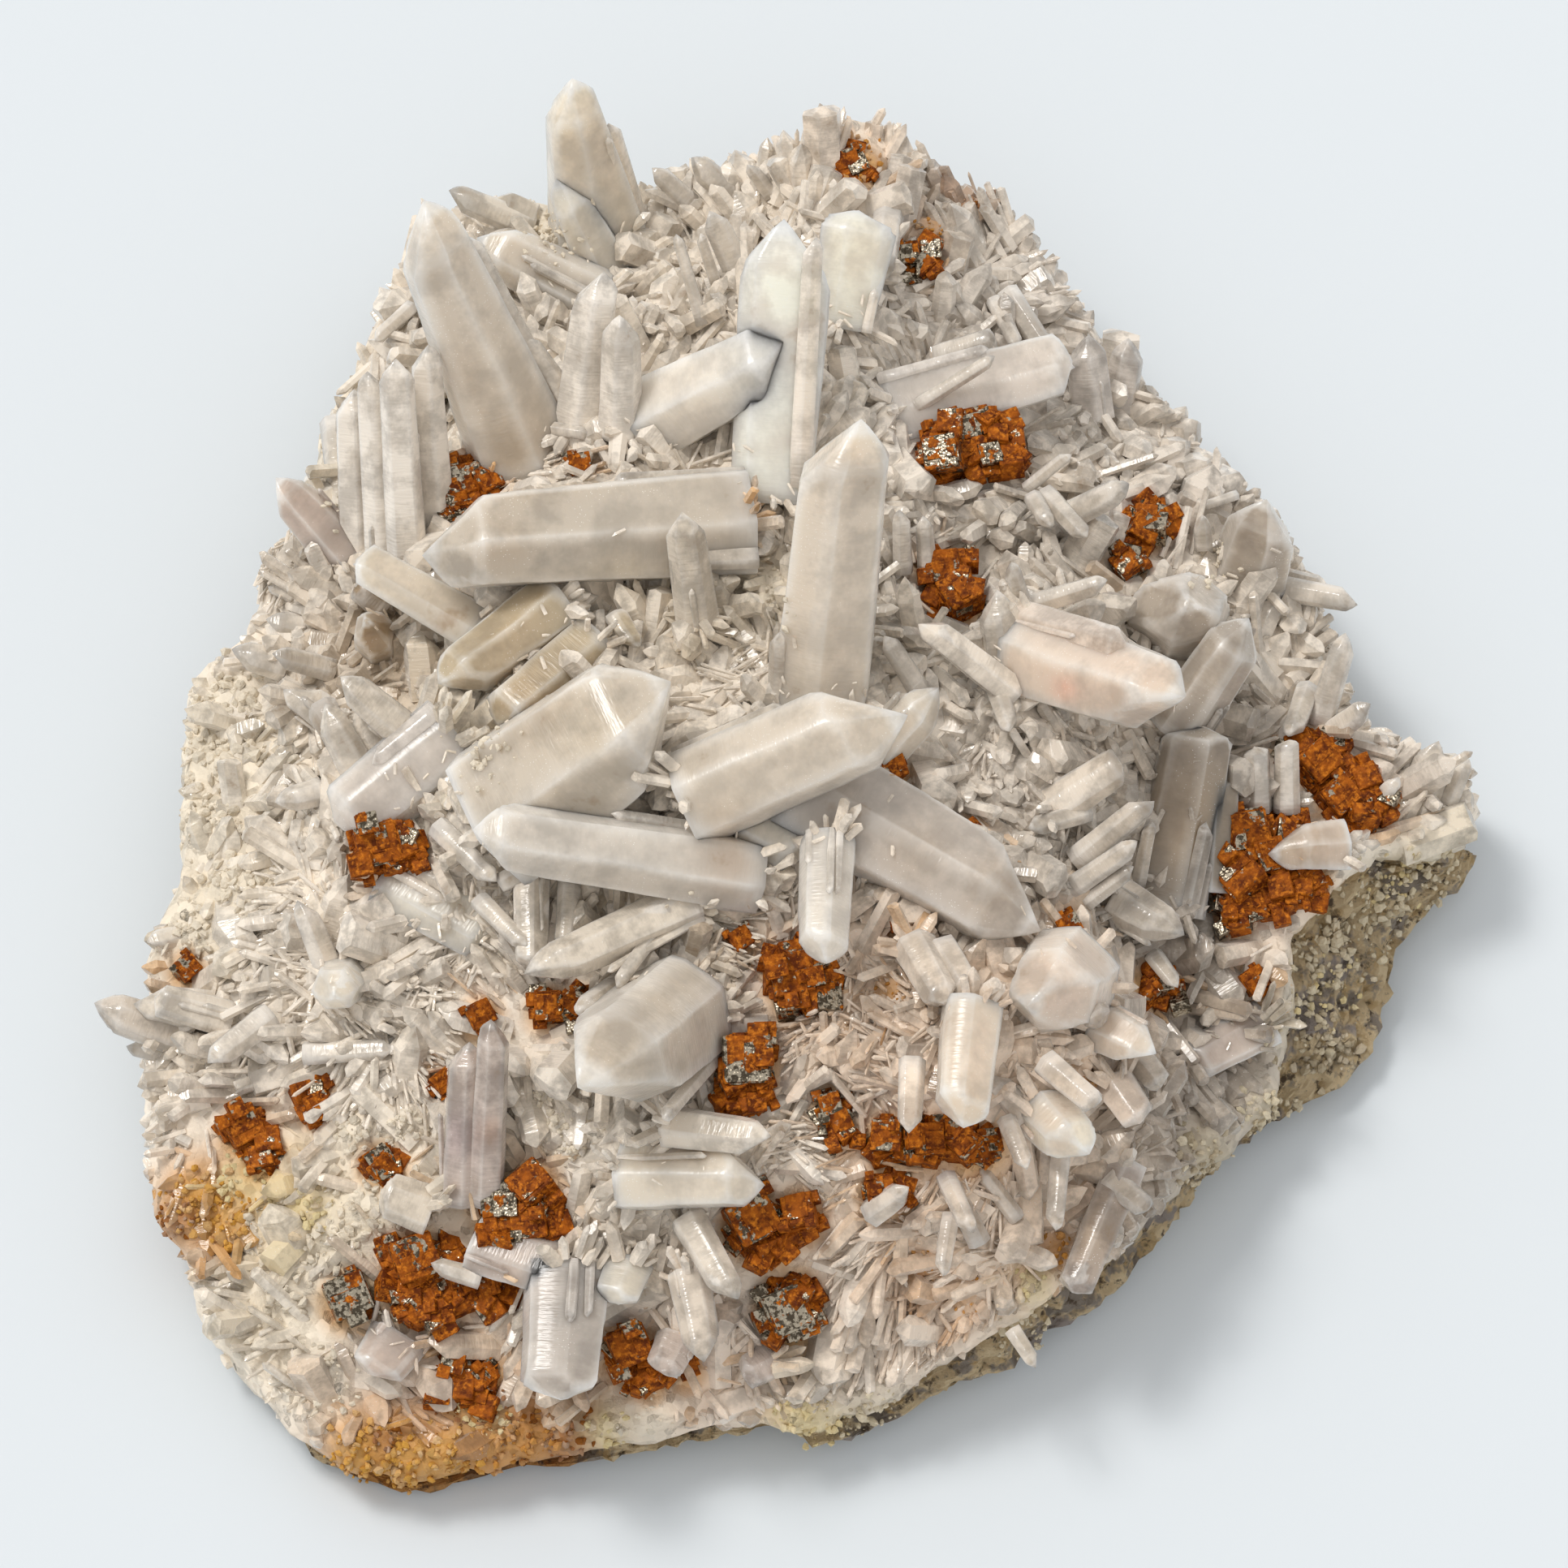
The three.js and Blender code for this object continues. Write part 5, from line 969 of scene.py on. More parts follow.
def quartz_finish(name, clear, glow, roughness, ridge, cloud, dulled, worn_edge_highlight=0.0):
    """Quartz. Clear is the share of light that it lets through, and glow the share that spreads.
    Ridge is how far its steps stand out, cloud the scale of its clouds, dulled the tone of the
    darkest of them, and the last how pale its sharp edges are, partly wear and partly painted highlight."""
    material, shader = new_material(name, {
        "Roughness": roughness, "IOR": QUARTZ_IOR, "Subsurface Weight": glow,
        "Subsurface Radius": GLOW_TONE, "Subsurface Scale": GLOW_REACH * MM,
    })
    grain_at = grown_in(material, "grain", "Vector")
    clouding = {"Vector": grain_at, "Scale": cloud, "Detail": 4, "Roughness": 0.62}
    clouds = wired(material, "TexNoise", clouding).outputs["Fac"]
    paler = spread(material, clouds, 0.34, 0.6, dulled, 1.01)
    toned = dimmed(material, grown_in(material, "tone", "Color"), paler)
    spotted = mixed(material, spread(material, clouds, 0.36, 0.26, 0, 0.5), toned, IRON_TONE)
    # Painted light: faces turned away from the eye are paled, a painted glow along each crystal's outline.
    turned_away = wired(material, "LayerWeight", {"Blend": 0.35}).outputs["Facing"]
    rim_lit = mixed(material, spread(material, turned_away, 0.25, 0.85, 0, 0.7), spotted, PAINTED_RIM_LIGHT_TONE)
    dots = wired(material, "TexVoronoi", {"Vector": grain_at, "Scale": 3.2}, feature="F1")
    dot = spread(material, dots.outputs["Distance"], 0.17, 0.08)
    dotted = {0: dot, 1: spread(material, clouds, 0.52, 0.6)}
    frost = wired(material, "Math", dotted, operation="MULTIPLY").outputs["Value"]
    tone = mixed(material, frost, rim_lit, FROSTED_TONE)
    # Sharp edges are paled: partly wear, and partly a painted highlight along them.
    if worn_edge_highlight:
        sharpness = wired(material, "NewGeometry").outputs["Pointiness"]
        tone = mixed(material, spread(material, sharpness, 0.512, 0.565, 0, worn_edge_highlight), tone, WORN_EDGE_HIGHLIGHT_TONE)
    link(material, tone, shader.inputs["Base Color"])
    stretched = wired(material, "Mapping", {"Vector": grain_at, "Scale": (0.35, 0.35, 2.2)})
    steps = wired(material, "TexNoise", {"Vector": stretched.outputs["Vector"], "Scale": 1.6, "Detail": 2})
    embossed(material, shader, steps.outputs["Fac"], ridge, 0.00025)
    clearer = spread(material, grown_in(material, "reach", "Fac"), 0, 1, clear * 0.5, clear * 1.3)
    cloudless = spread(material, clouds, 0.42, 0.58, 1.5, 0.45)
    passing = wired(material, "Math", {0: clearer, 1: cloudless}, operation="MULTIPLY")
    link(material, passing.outputs["Value"], shader.inputs["Transmission Weight"])
    return material


GRAIN_SHIFT = 37.0  # apart in the clouds of the quartz, so that no two points are alike
great_points, slender_points = Growth(), Growth()
butts = []
for index, (name, row) in enumerate(POINTS.items()):
    root_column, root_row, tip_column, tip_row, width, rise, lift, shape = row
    root = on_surface(root_column, root_row, lift)
    tip = place(tip_column, tip_row, root[2] + rise)
    length = np.linalg.norm(tip - root)
    axes = stood(root, tip)
    chance = np.random.default_rng(index)
    # A point with no tone of its own takes half the tint at its root, painted shade included. Its
    # lightness is partly its own and partly painted light, dimmed where it faces the lamp.
    own = np.array(tone_of_point.get(name, 0.5 * np.array(CREAM) + 0.5 * tint_at(root[None])[0]))
    tone = own * lightness_and_shade_of_point.get(name, PLAIN_LIGHTNESS)
    fine = width > FINE_WIDTH
    corners, faces = grown_point(length, width, index * TURN_STEP, chance, fine=fine, **shape)
    placed = root + corners @ axes
    growth = great_points if width > GREAT_WIDTH else slender_points
    if width > ROOTED_WIDTH and lift > -0.5:
        butts.append((*root, *axes[2], width))
    own_grain = corners + [index * GRAIN_SHIFT, 0, 0]
    growth.add(placed, faces, own_grain, stained(placed, tone), corners[:, 2] / length)
    for side in range(int(chance.integers(0, 4)) if width > FLANKED_WIDTH else 0):
        turn = chance.uniform(0, 2 * math.pi)
        beside = np.array([math.cos(turn), math.sin(turn) * shape.get("flat", 0.86), 0]) * width * 0.46
        short, slim = length * chance.uniform(0.25, 0.72), width * chance.uniform(0.1, 0.26)
        corners, faces = grown_point(short, slim, turn, chance, fine=False)
        leaning = corners + corners[:, 2:] * beside / width * chance.uniform(-0.05, 0.22)
        placed = root + (leaning + beside) @ axes
        own_grain = corners + [index * GRAIN_SHIFT, side * 9.0, 0]
        slender_points.add(placed, faces, own_grain, tone, corners[:, 2] / short)

milky = quartz_finish("milky_quartz", 0.16, 1.0, 0.24, 0.25, 0.2, 0.92, worn_edge_highlight=0.6)
frosty = quartz_finish("frosty_quartz", 0.28, 0.0, 0.14, 0.3, 0.3, 0.86, worn_edge_highlight=0.5)
great = great_points.piece("great_points")
slender = slender_points.piece("slender_points")
for piece, finish in ((great, milky), (slender, frosty)):
    piece.data.shade_smooth()
    finish_piece(piece, finish, "quartz", "quartz_cluster")

# The pyrite: striated cubes, grown into one another and onto beds of limonite, the rusty coat that
# pyrite weathers to. Some faces are still bright metal. Each knot sits in its own hollow.
# Column, row, edge, turn in degrees, lift, and how much of the cube is coated.
PYRITE = {
    "pyrite_crown": [(1045, 200, 1.8, 20, 0, 0.7), (1068, 218, 1.6, 50, 0, 1)],
    "pyrite_crown_right": [(1118, 316, 2.1, 8, 0, 0.15), (1140, 334, 2.0, 40, 0, 1)],
    "pyrite_high_cubes": [
        (1196, 536, 3.7, 14, 2, 0.4), (1162, 566, 3.2, 4, 1.6, 0.45), (1226, 560, 2.6, 38, 1.6, 1),
    ],
    "pyrite_behind_tower": [(572, 604, 3.6, 12, 0, 0.55), (600, 600, 2.4, 30, 0, 0.8)],
    "pyrite_behind_log": [(715, 576, 2.0, 12, 0, 0.6)],
    "pyrite_bead": [(908, 655, 1.6, 45, 0, 1)],
    "pyrite_right_block": [(1160, 706, 3.2, 6, 0, 0.95), (1182, 742, 3.4, 30, 0, 0.8)],
    "pyrite_far_right": [
        (1408, 658, 2.6, 62, 0, 0.7), (1388, 700, 2.4, 40, 0, 0.5), (1420, 640, 1.9, 5, 0, 0.9),
    ],
    "pyrite_under_point": [(1094, 948, 2.9, 20, 1.5, 0.95)],
    "pyrite_button": [(1196, 1024, 1.6, 45, 0, 1)],
    "pyrite_left_cube": [(466, 1048, 3.8, 14, 2, 0.85), (490, 1052, 2.8, 30, 1.6, 1)],
    "pyrite_left_edge": [(230, 1196, 2.1, 45, 0, 0.6)],
    "pyrite_basin": [(392, 1366, 2.3, 25, 0, 0.85), (390, 1345, 1.4, 5, 0, 0.1)],
    "pyrite_left_mass": [(300, 1392, 3.2, 30, 0, 0.95), (325, 1430, 2.2, 12, 0, 0.6)],
    "pyrite_striated": [(468, 1434, 2.3, 35, 0, 0.2), (484, 1444, 1.8, 10, 0, 0.8)],
    "pyrite_spire_back": [(592, 1254, 2.3, 30, 0, 0.95)],
    "pyrite_point_back": [(676, 1244, 2.6, 4, 0, 0.95), (712, 1240, 2.2, 50, 0, 0.9)],
    "pyrite_spire_foot": [(546, 1336, 2.0, 40, 0, 1)],
    "pyrite_twin_cubes": [
        (612, 1484, 3.0, 10, 0, 0.05), (658, 1468, 3.4, 40, 0, 0.8), (655, 1510, 3.3, 4, 0, 0.95),
    ],
    "pyrite_lower_left": [
        (512, 1556, 3.9, 20, 0, 0.85), (504, 1598, 3.0, 45, 0, 0.7), (560, 1594, 2.2, 8, 0, 0.8),
        (602, 1588, 1.8, 20, 0, 0.9),
    ],
    "pyrite_bright_cube": [(430, 1602, 3.7, 24, 0, 0.1)],
    "pyrite_column": [
        (974, 1207, 3.8, 12, 0, 0.7), (992, 1190, 3.0, 28, 0, 0.5), (980, 1230, 3.0, 5, 0, 0.9),
    ],
    "pyrite_banded_cube": [(920, 1313, 4.4, 2, 0, 0.6), (922, 1340, 2.6, 10, 0, 1)],
    "pyrite_fragment": [(912, 1160, 1.9, 33, 0, 0.9)],
    "pyrite_stub_side": [(1120, 1150, 2.0, 12, 0, 0.8)],
    "pyrite_wall": [(1316, 1146, 2.1, 30, 0, 1)],
    "pyrite_clinker": [(1022, 1364, 2.0, 15, 0, 0.6), (1040, 1400, 1.7, 40, 0, 0.9)],
    "pyrite_cluster": [
        (1092, 1404, 2.8, -4, 0, 0.9), (1140, 1410, 2.8, 8, 0, 0.9), (1190, 1416, 2.6, 44, 0, 0.8),
        (1216, 1412, 2.2, 12, 0, 0.3),
    ],
    "pyrite_cluster_foot": [(1084, 1469, 2.5, 8, 0, 0.95), (1106, 1474, 2.0, 35, 0, 1)],
    "pyrite_low_mass": [
        (926, 1508, 4.0, 30, 0, 0.9), (986, 1500, 2.9, 10, 0, 0.85), (955, 1532, 2.6, 45, 0, 0.9),
    ],
    "pyrite_low_mirror": [(968, 1622, 3.9, 25, 0, 0.2), (980, 1600, 2.8, 48, 0, 0.7)],
    "pyrite_fore": [(775, 1664, 3.5, 25, 0, 0.9), (800, 1702, 1.8, 5, 0, 0.1)],
    "pyrite_fore_bead": [(848, 1690, 1.7, 25, 0, 1)],
    "pyrite_fore_peppered": [
        (560, 1680, 2.2, -15, 0, 0.9), (596, 1700, 2.0, 44, 0, 0.8), (572, 1718, 2.0, 8, 0, 0.9),
    ],
    "pyrite_arm_upper": [
        (1622, 944, 3.2, 42, 0, 0.95), (1650, 986, 3.0, 40, 0, 0.9), (1680, 1010, 2.4, 5, 0, 0.95),
        (1602, 925, 2.4, 20, 0, 1), (1668, 960, 2.2, 60, 0, 1),
    ],
    "pyrite_arm_lower": [
        (1536, 1030, 3.6, 10, 0, 0.9), (1530, 1090, 3.7, 40, 0, 0.85), (1560, 1062, 3.0, 22, 0, 0.8),
        (1518, 1128, 2.4, 10, 0, 1), (1584, 1030, 2.4, 50, 0, 1),
    ],
    "pyrite_arm_bead": [(1618, 1086, 1.8, 30, 0, 0.9)],
    "pyrite_ledge_left": [(1432, 1214, 2.6, 10, 0, 0.7), (1416, 1222, 2.0, 40, 0, 0.9)],
    "pyrite_ledge_right": [(1544, 1212, 2.2, 35, 0, 0.95)],
}
LIMONITE_REACH = 0.72
LIMONITE_DEPTH = 0.8
LIMONITE_SUNK = 0.5
PYRITE_STANDS = 0.36
PYRITE_LEAN = 0.3
CUBE_TERRACES = 9
SIDE_CUBES = 4
SIDE_TERRACES = 2
GRAINS_OVER_BED = 3.6  # for each square millimetre of a quarter of it
GRAIN_COATS = [0.1, 0.8, 1, 1, 1.2, 1.2]
beds = []


def turned_by(x, y, z):
    """Rows of the turn about X, then Y, then Z."""
    turn = Matrix.Rotation(z, 3, "Z") @ Matrix.Rotation(y, 3, "Y") @ Matrix.Rotation(x, 3, "X")
    return np.array(turn).T


def rounded(corners, faces, offset):
    """The same body with its edges softened."""
    body = bmesh.new()
    made = [body.verts.new(corner) for corner in corners]
    for face in faces:
        body.faces.new([made[index] for index in face])
    bmesh.ops.bevel(body, geom=body.edges[:], offset=offset, segments=1, profile=0.6, affect="EDGES")
    body.verts.index_update()
    softened = np.array([corner.co for corner in body.verts])
    skin = [[corner.index for corner in face.verts] for face in body.faces]
    body.free()
    return softened, skin


def plain_box(size):
    signs = np.array([(x, y, z) for x in (-1, 1) for y in (-1, 1) for z in (-1, 1)])
    corners = signs * np.array(size) / 2
    return corners, [(0, 1, 3, 2), (4, 6, 7, 5), (0, 4, 5, 1), (2, 3, 7, 6), (0, 2, 6, 4), (1, 5, 7, 3)]


def stepped_cube(edge, chance, steps):
    """Boxes of one pyrite cube: the cube, and terraces that stand on its faces."""
    blocks = [(rounded(*plain_box([edge] * 3), 0.035 * edge), np.zeros(3))]
    for _ in range(steps):
        axis = chance.integers(3)
        size = chance.uniform(0.25, 0.85, 3) * edge
        size[axis] = edge * chance.uniform(0.03, 0.1)
        middle = (edge - size) / 2 * chance.uniform(-1, 1, 3)
        middle[axis] = chance.choice([-1, 1]) * edge / 2
        blocks.append((plain_box(size), middle))
    return blocks


def seated(name, rows):
    """The pyrite and limonite of one hollow."""
    chance = np.random.default_rng(sum(map(ord, name)))
    base = math.radians(rows[0][3])
    level = turned_by(0, 0, base)
    knot = Growth()

    def lay(blocks, middle, axes, coat):
        for (corners, faces), offset in blocks:
            local = corners + offset
            coats = np.full(len(corners), coat + chance.uniform(-0.12, 0.12))
            shift = chance.uniform(0, 90)
            knot.add(middle + local @ axes, faces, local + shift, (1, 1, 1), coats)

    middles = []
    for column, row, edge, degrees, lift, coat in rows:
        turn = math.radians(degrees)
        middle = on_surface(column, row, lift) + [0, 0, PYRITE_STANDS * edge]
        lean = turn - base
        axes = turned_by(PYRITE_LEAN * math.cos(lean * 5), PYRITE_LEAN * math.sin(lean * 7), turn)
        lay(stepped_cube(edge * 1.06, chance, CUBE_TERRACES), middle, axes, coat)
        for _ in range(SIDE_CUBES):
            small = edge * chance.uniform(0.3, 0.62)
            beside = chance.uniform(-1, 1, 3) * [1, 1, 0.6]
            beside *= (edge * 0.56) / np.abs(beside).max()
            blocks = stepped_cube(small, chance, SIDE_TERRACES)
            lay(blocks, middle + beside @ axes, axes, coat + chance.uniform(-0.2, 0.3))
        middles.append(middle)
    if len(rows) > 1:
        flat = np.array(middles) @ level.T
        low, high = flat.min(0), flat.max(0)
        margin = LIMONITE_REACH * max(row[2] for row in rows)
        half = (high - low) / 2 + margin * np.array([0.9, 0.9, 0])
        half[2] = LIMONITE_DEPTH * margin
        centre = (low + high) / 2 - [0, 0, LIMONITE_SUNK * half[2]]
        bed = rounded(*plain_box(half * [1.5, 1.5, 1.6]), 0.3 * half[2])
        lay([(bed, np.zeros(3))], centre @ level, level, 1.2)
        beds.append((centre, half, level))
        for _ in range(int(GRAINS_OVER_BED * half[0] * half[1])):
            small = 0.6 + 2.0 * chance.uniform(0, 1) ** 2
            across = chance.uniform(-1, 1, 2)
            rise = half[2] * chance.uniform(0.4, 1.1) * (1 - 0.5 * np.abs(across).max() ** 3)
            spot = centre + [across[0] * half[0] * 0.9, across[1] * half[1] * 0.9, rise - small * 0.3]
            axes = turned_by(*chance.normal(0, 0.22, 2), base + chance.normal(0, 0.3))
            blocks = stepped_cube(small, chance, 1)
            lay(blocks, spot @ level, axes, chance.choice(GRAIN_COATS))
    return knot.piece(name + "_grown")


RUST_TONES = [(0.11, 0.022, 0.003, 1), (0.38, 0.098, 0.007, 1), (0.64, 0.20, 0.016, 1)]
METAL_TONES = [(0.46, 0.40, 0.305, 1), (0.09, 0.072, 0.05, 1)]
rusty, rusty_shader = new_material("rusty_pyrite", {"Specular IOR Level": 0.1})
grain_at = grown_in(rusty, "grain", "Vector")
patches = wired(rusty, "TexNoise", {"Vector": grain_at, "Scale": 0.55, "Detail": 5, "Roughness": 0.55})
uneven = spread(rusty, patches.outputs["Fac"], 0.3, 0.7, -0.8, 0.8)
summed = wired(rusty, "Math", {0: grown_in(rusty, "reach", "Fac"), 1: uneven}, operation="ADD")
coated = spread(rusty, summed.outputs["Value"], 0.44, 0.52)
rust_dark = mixed(rusty, blotches(rusty, grain_at, 0.8, 0.4, 0.62), RUST_TONES[0], RUST_TONES[1])
rust = mixed(rusty, blotches(rusty, grain_at, 1.9, 0.5, 0.68), rust_dark, RUST_TONES[2])
metal = mixed(rusty, blotches(rusty, grain_at, 1.8, 0.47, 0.55), METAL_TONES[0], METAL_TONES[1])
link(rusty, mixed(rusty, coated, metal, rust), rusty_shader.inputs["Base Color"])
link(rusty, spread(rusty, coated, 0, 1, 1, 0), rusty_shader.inputs["Metallic"])
link(rusty, spread(rusty, coated, 0, 1, 0.3, 0.55), rusty_shader.inputs["Roughness"])
stretched = wired(rusty, "Mapping", {"Vector": grain_at, "Scale": (4.5, 0.5, 4.5)}).outputs["Vector"]
lines = wired(rusty, "TexNoise", {"Vector": stretched, "Scale": 1.0, "Detail": 2}).outputs["Fac"]
pits = wired(rusty, "TexVoronoi", {"Vector": grain_at, "Scale": 3.5}, feature="F1").outputs["Distance"]
worn_face = wired(rusty, "Math", {0: lines, 1: pits}, operation="ADD").outputs["Value"]
embossed(rusty, rusty_shader, worn_face, 0.4, 0.0002)
for name, rows in PYRITE.items():
    finish_piece(seated(name, rows), rusty, "pyrite", name)

RUST_SPREADS = 1.5
RUST_TINT = (0.78, 0.42, 0.13)
CLEARED = 0.62  # of a cube's edge
all_cubes = [row for rows in PYRITE.values() for row in rows]
cubes = np.array([(*on_surface(row[0], row[1], row[4])[:2], row[2]) for row in all_cubes])


def rusted(points, tones):
    """Tones of quartz, warmed by the rust that has spread from the pyrite next to it."""
    apart = np.hypot(points[:, None, 0] - cubes[:, 0], points[:, None, 1] - cubes[:, 1])
    apart -= CLEARED * cubes[:, 2]
    share = 0.8 * np.clip(1 - apart.min(1) / RUST_SPREADS, 0, 1)[:, None]
    return tones + (np.array(RUST_TINT) - tones) * share


bed_corners = corners_of(crust)
tone_over(crust, rusted(bed_corners, tint_at(bed_corners)))

# The druse between the great points: stubby blocks, small prisms and fine needles of quartz that
# grew in sprays. Each spray leans its own way, and none of them covers the pyrite.
SPRAY_COUNT = 260
PLAN_REACH = 85
PLAN_EDGE = 0.985
PLATE_REACH = 65
KINDS = 14
PALEST = (0.99, 0.905, 0.795)
PALENESS = (-0.1, 0.78)
POWDER_HIDES = 0.85
# Of each kind: the range of its lengths, of its widths and of its rise, how deep it is sunk in its
# own widths, how far a spray fans out, how wayward it is, and the room it leaves round the pyrite.
DRUSE = {
    "blocks": ((3.2, 8.0), (1.8, 4.2), (0.1, 0.8), 0.35, 0.05, 0.6, 0.9),
    "prisms": ((3.2, 7.5), (0.8, 1.7), (0.0, 0.65), 0.1, 0.12, 0.45, 0.6),
    "splinters": ((2.2, 5.2), (0.4, 0.9), (0.05, 0.6), 0.2, 0.15, 0.5, 0.3),
    "needles": ((2.4, 5.6), (0.3, 0.6), (0.05, 0.5), 0.2, 0.35, 0.4, 0.2),
}
# Where the druse is a thicket of needles, as (column, row, reach in pixels).
NEEDLE_FIELDS = [
    (1080, 1250, 95), (900, 1110, 70), (840, 1160, 60), (930, 800, 70), (880, 700, 60),
    (830, 360, 80), (1190, 1540, 100), (1120, 1600, 80), (1330, 1100, 70), (1270, 880, 70),
    (640, 560, 60), (480, 1270, 90), (380, 1150, 80), (620, 1110, 70), (350, 700, 60),
    (980, 1450, 70),
]


def in_plan(count, chance):
    """Places spread evenly over the plan of the crust."""
    turn = chance.uniform(0, 2 * math.pi, count * 3)
    reach = np.sqrt(chance.uniform(0, 1, count * 3)) * PLAN_REACH
    inside = reach < quartz_reach(turn) * PLAN_EDGE
    turn, reach = turn[inside][:count], reach[inside][:count]
    return np.stack([reach * np.cos(turn), reach * np.sin(turn)], 1)


def in_fields(count, seed):
    """Places in the fields of needles, more of them towards the heart of each."""
    chance = np.random.default_rng(seed)
    fields = np.array(NEEDLE_FIELDS, float)
    hearts = on_surface(fields[:, 0], fields[:, 1])[:, :2]
    chosen = chance.choice(len(fields), count, p=fields[:, 2] ** 2 / (fields[:, 2] ** 2).sum())
    turn = chance.uniform(0, 2 * math.pi, count)
    reach = np.sqrt(chance.uniform(0, 1, count)) * fields[chosen, 2] * MM_PER_PIXEL
    return hearts[chosen] + reach[:, None] * np.stack([np.cos(turn), np.sin(turn)], 1)


spray_chance = np.random.default_rng(5)
sprays = in_plan(SPRAY_COUNT, spray_chance)
spray_leans = spray_chance.normal(0, 1.0, (SPRAY_COUNT, 2))


def caked(points):
    """How thickly powder covers places of the part, from 0 to 1."""
    columns, rows = seen_at(points)
    cover = np.zeros(len(points))
    for column, row, reach_px, *_ in CRUMB_FIELDS:
        cover = np.maximum(cover, near_spot(columns, rows, column, row, reach_px**2))
    return cover


def clear_of_pyrite(points, margin):
    apart = np.hypot(points[:, None, 0] - cubes[:, 0], points[:, None, 1] - cubes[:, 1])
    clear = (apart > 0.66 * cubes[:, 2] + margin).all(1)
    for centre, half, level in beds:
        within = np.abs(points @ level.T - centre)[:, :2] < 0.85 * half[:2] + margin
        clear &= ~within.all(1)
    return clear


def slim_point(ratio, chance):
    """A needle that is one wide and so many long: six sides and a point."""
    turn = np.arange(6) * math.pi / 3
    around = np.stack([np.cos(turn), np.sin(turn)], 1) / 2 * chance.uniform(0.8, 1.1, (6, 1))
    shoulders = ratio - chance.uniform(0.45, 1.1) + chance.uniform(-0.2, 0.2, 6)
    low, high = np.column_stack([around, 0 * turn]), np.column_stack([around * 0.92, shoulders])
    faces = [[5, 4, 3, 2, 1, 0]]
    for corner in range(6):
        after = (corner + 1) % 6
        faces += [[corner, after, after + 6, corner + 6], [corner + 6, after + 6, 12]]
    return np.concatenate([low, high, [[0.12, 0, ratio]]]), faces


def stubby_point(ratio, chance, blunt):
    """A crystal that is one wide and so many long, with flat faces and a pyramid or a break."""
    shape = {"taper": chance.uniform(1.0, 1.2), "blunt": blunt, "point": chance.uniform(0.4, 0.8)}
    normals, offsets, _, _ = point_planes(ratio, 1.0, chance.uniform(0, 6), chance, **shape)
    return faceted(np.concatenate([[[0, 0, -1]], normals]), np.concatenate([[0], offsets]))


def crystals(name, root, along, length, width, chance, material, slim=False):
    """A piece of many crystals, each with its root, its direction, its length and its width."""
    spin = chance.uniform(0, 2 * math.pi, len(root))
    side = np.column_stack([np.cos(spin), np.sin(spin), np.zeros(len(root))])
    side -= along * (side * along).sum(1)[:, None]
    side /= np.linalg.norm(side, axis=1)[:, None]
    turned = np.stack([side, np.cross(along, side), along], 1)
    tone = tint_at(root)
    # Crystals are paled at random, less where the tint is dark, so painted shade and ochre stay dark.
    paleness = chance.uniform(*PALENESS, (len(root), 1)) * tone[:, :1] ** 2
    paleness *= np.clip((tone[:, 2:] - 0.3) / 0.35, 0, 1)
    tone = np.where(paleness > 0, tone + (np.array(PALEST) - tone) * paleness, tone * (1 + paleness))
    tone = rusted(root, tone)
    slenderness = length / width
    kinds = np.exp(np.linspace(*np.log([slenderness.min(), slenderness.max()]), KINDS))
    kind = np.abs(np.log(kinds) - np.log(slenderness)[:, None]).argmin(1)
    made = Growth()
    for index, ratio in enumerate(kinds):
        corners, faces = slim_point(ratio, chance) if slim else stubby_point(ratio, chance, index % 4 == 3)
        corners = corners * [1, chance.uniform(0.6, 1), 1]
        chosen = np.flatnonzero(kind == index)
        local = corners * width[chosen, None, None]
        placed = root[chosen, None] + np.einsum("nij,njk->nik", local, turned[chosen])
        grain = local + chosen[:, None, None] * np.array([7.3, 3.1, 0])
        tones = np.repeat(tone[chosen, None], len(corners), 1)
        share = np.tile(corners[:, 2] / corners[:, 2].max(), len(chosen))
        fans = [(face[0], face[k], face[k + 1]) for face in faces for k in range(1, len(face) - 1)]
        repeated = np.array(fans) + (np.arange(len(chosen)) * len(corners))[:, None, None]
        made.add(*[table.reshape(-1, 3) for table in (placed, repeated, grain, tones)], share)
    return finish_piece(made.piece(name), material, "quartz", "quartz_cluster")


def scatter(name, plan, seed, material, slim=False):
    """A piece of many crystals of one kind that stand on the crust, at places of the plan."""
    lengths, widths, rises, sunk, fanned, wayward, margin = DRUSE[name]
    chance = np.random.default_rng(seed)
    length = np.exp(chance.uniform(*np.log(lengths), len(plan)))
    width = np.exp(chance.uniform(*np.log(widths), len(plan)))
    nearest = ((plan[:, None] - sprays) ** 2).sum(2).argmin(1)
    outward = plan / PLATE_REACH * (np.linalg.norm(plan, axis=1)[:, None] / PLATE_REACH) ** 2
    away = (plan - sprays[nearest]) * fanned
    heading = spray_leans[nearest] + away + outward * 0.9 + chance.normal(0, wayward, plan.shape)
    heading /= np.linalg.norm(heading, axis=1)[:, None]
    rise = chance.uniform(*rises, len(plan))
    end = plan + heading * (length * np.sqrt(1 - rise**2))[:, None]
    along = np.column_stack([end - plan, surface_height(*end.T) - surface_height(*plan.T) + rise * length])
    along /= np.linalg.norm(along, axis=1)[:, None]
    root = np.column_stack([plan, surface_height(*plan.T) - GROUND_SUNK - sunk * width])
    tip = root + along * length[:, None]
    fits = clear_of_pyrite(root, margin) & clear_of_pyrite(tip, margin)
    fits &= np.hypot(*tip[:, :2].T) < quartz_reach(np.arctan2(tip[:, 1], tip[:, 0])) * 1.02
    fits &= chance.uniform(0, 1, len(root)) > POWDER_HIDES * caked(root)
    return crystals(name, root[fits], along[fits], length[fits], width[fits], chance, material, slim)


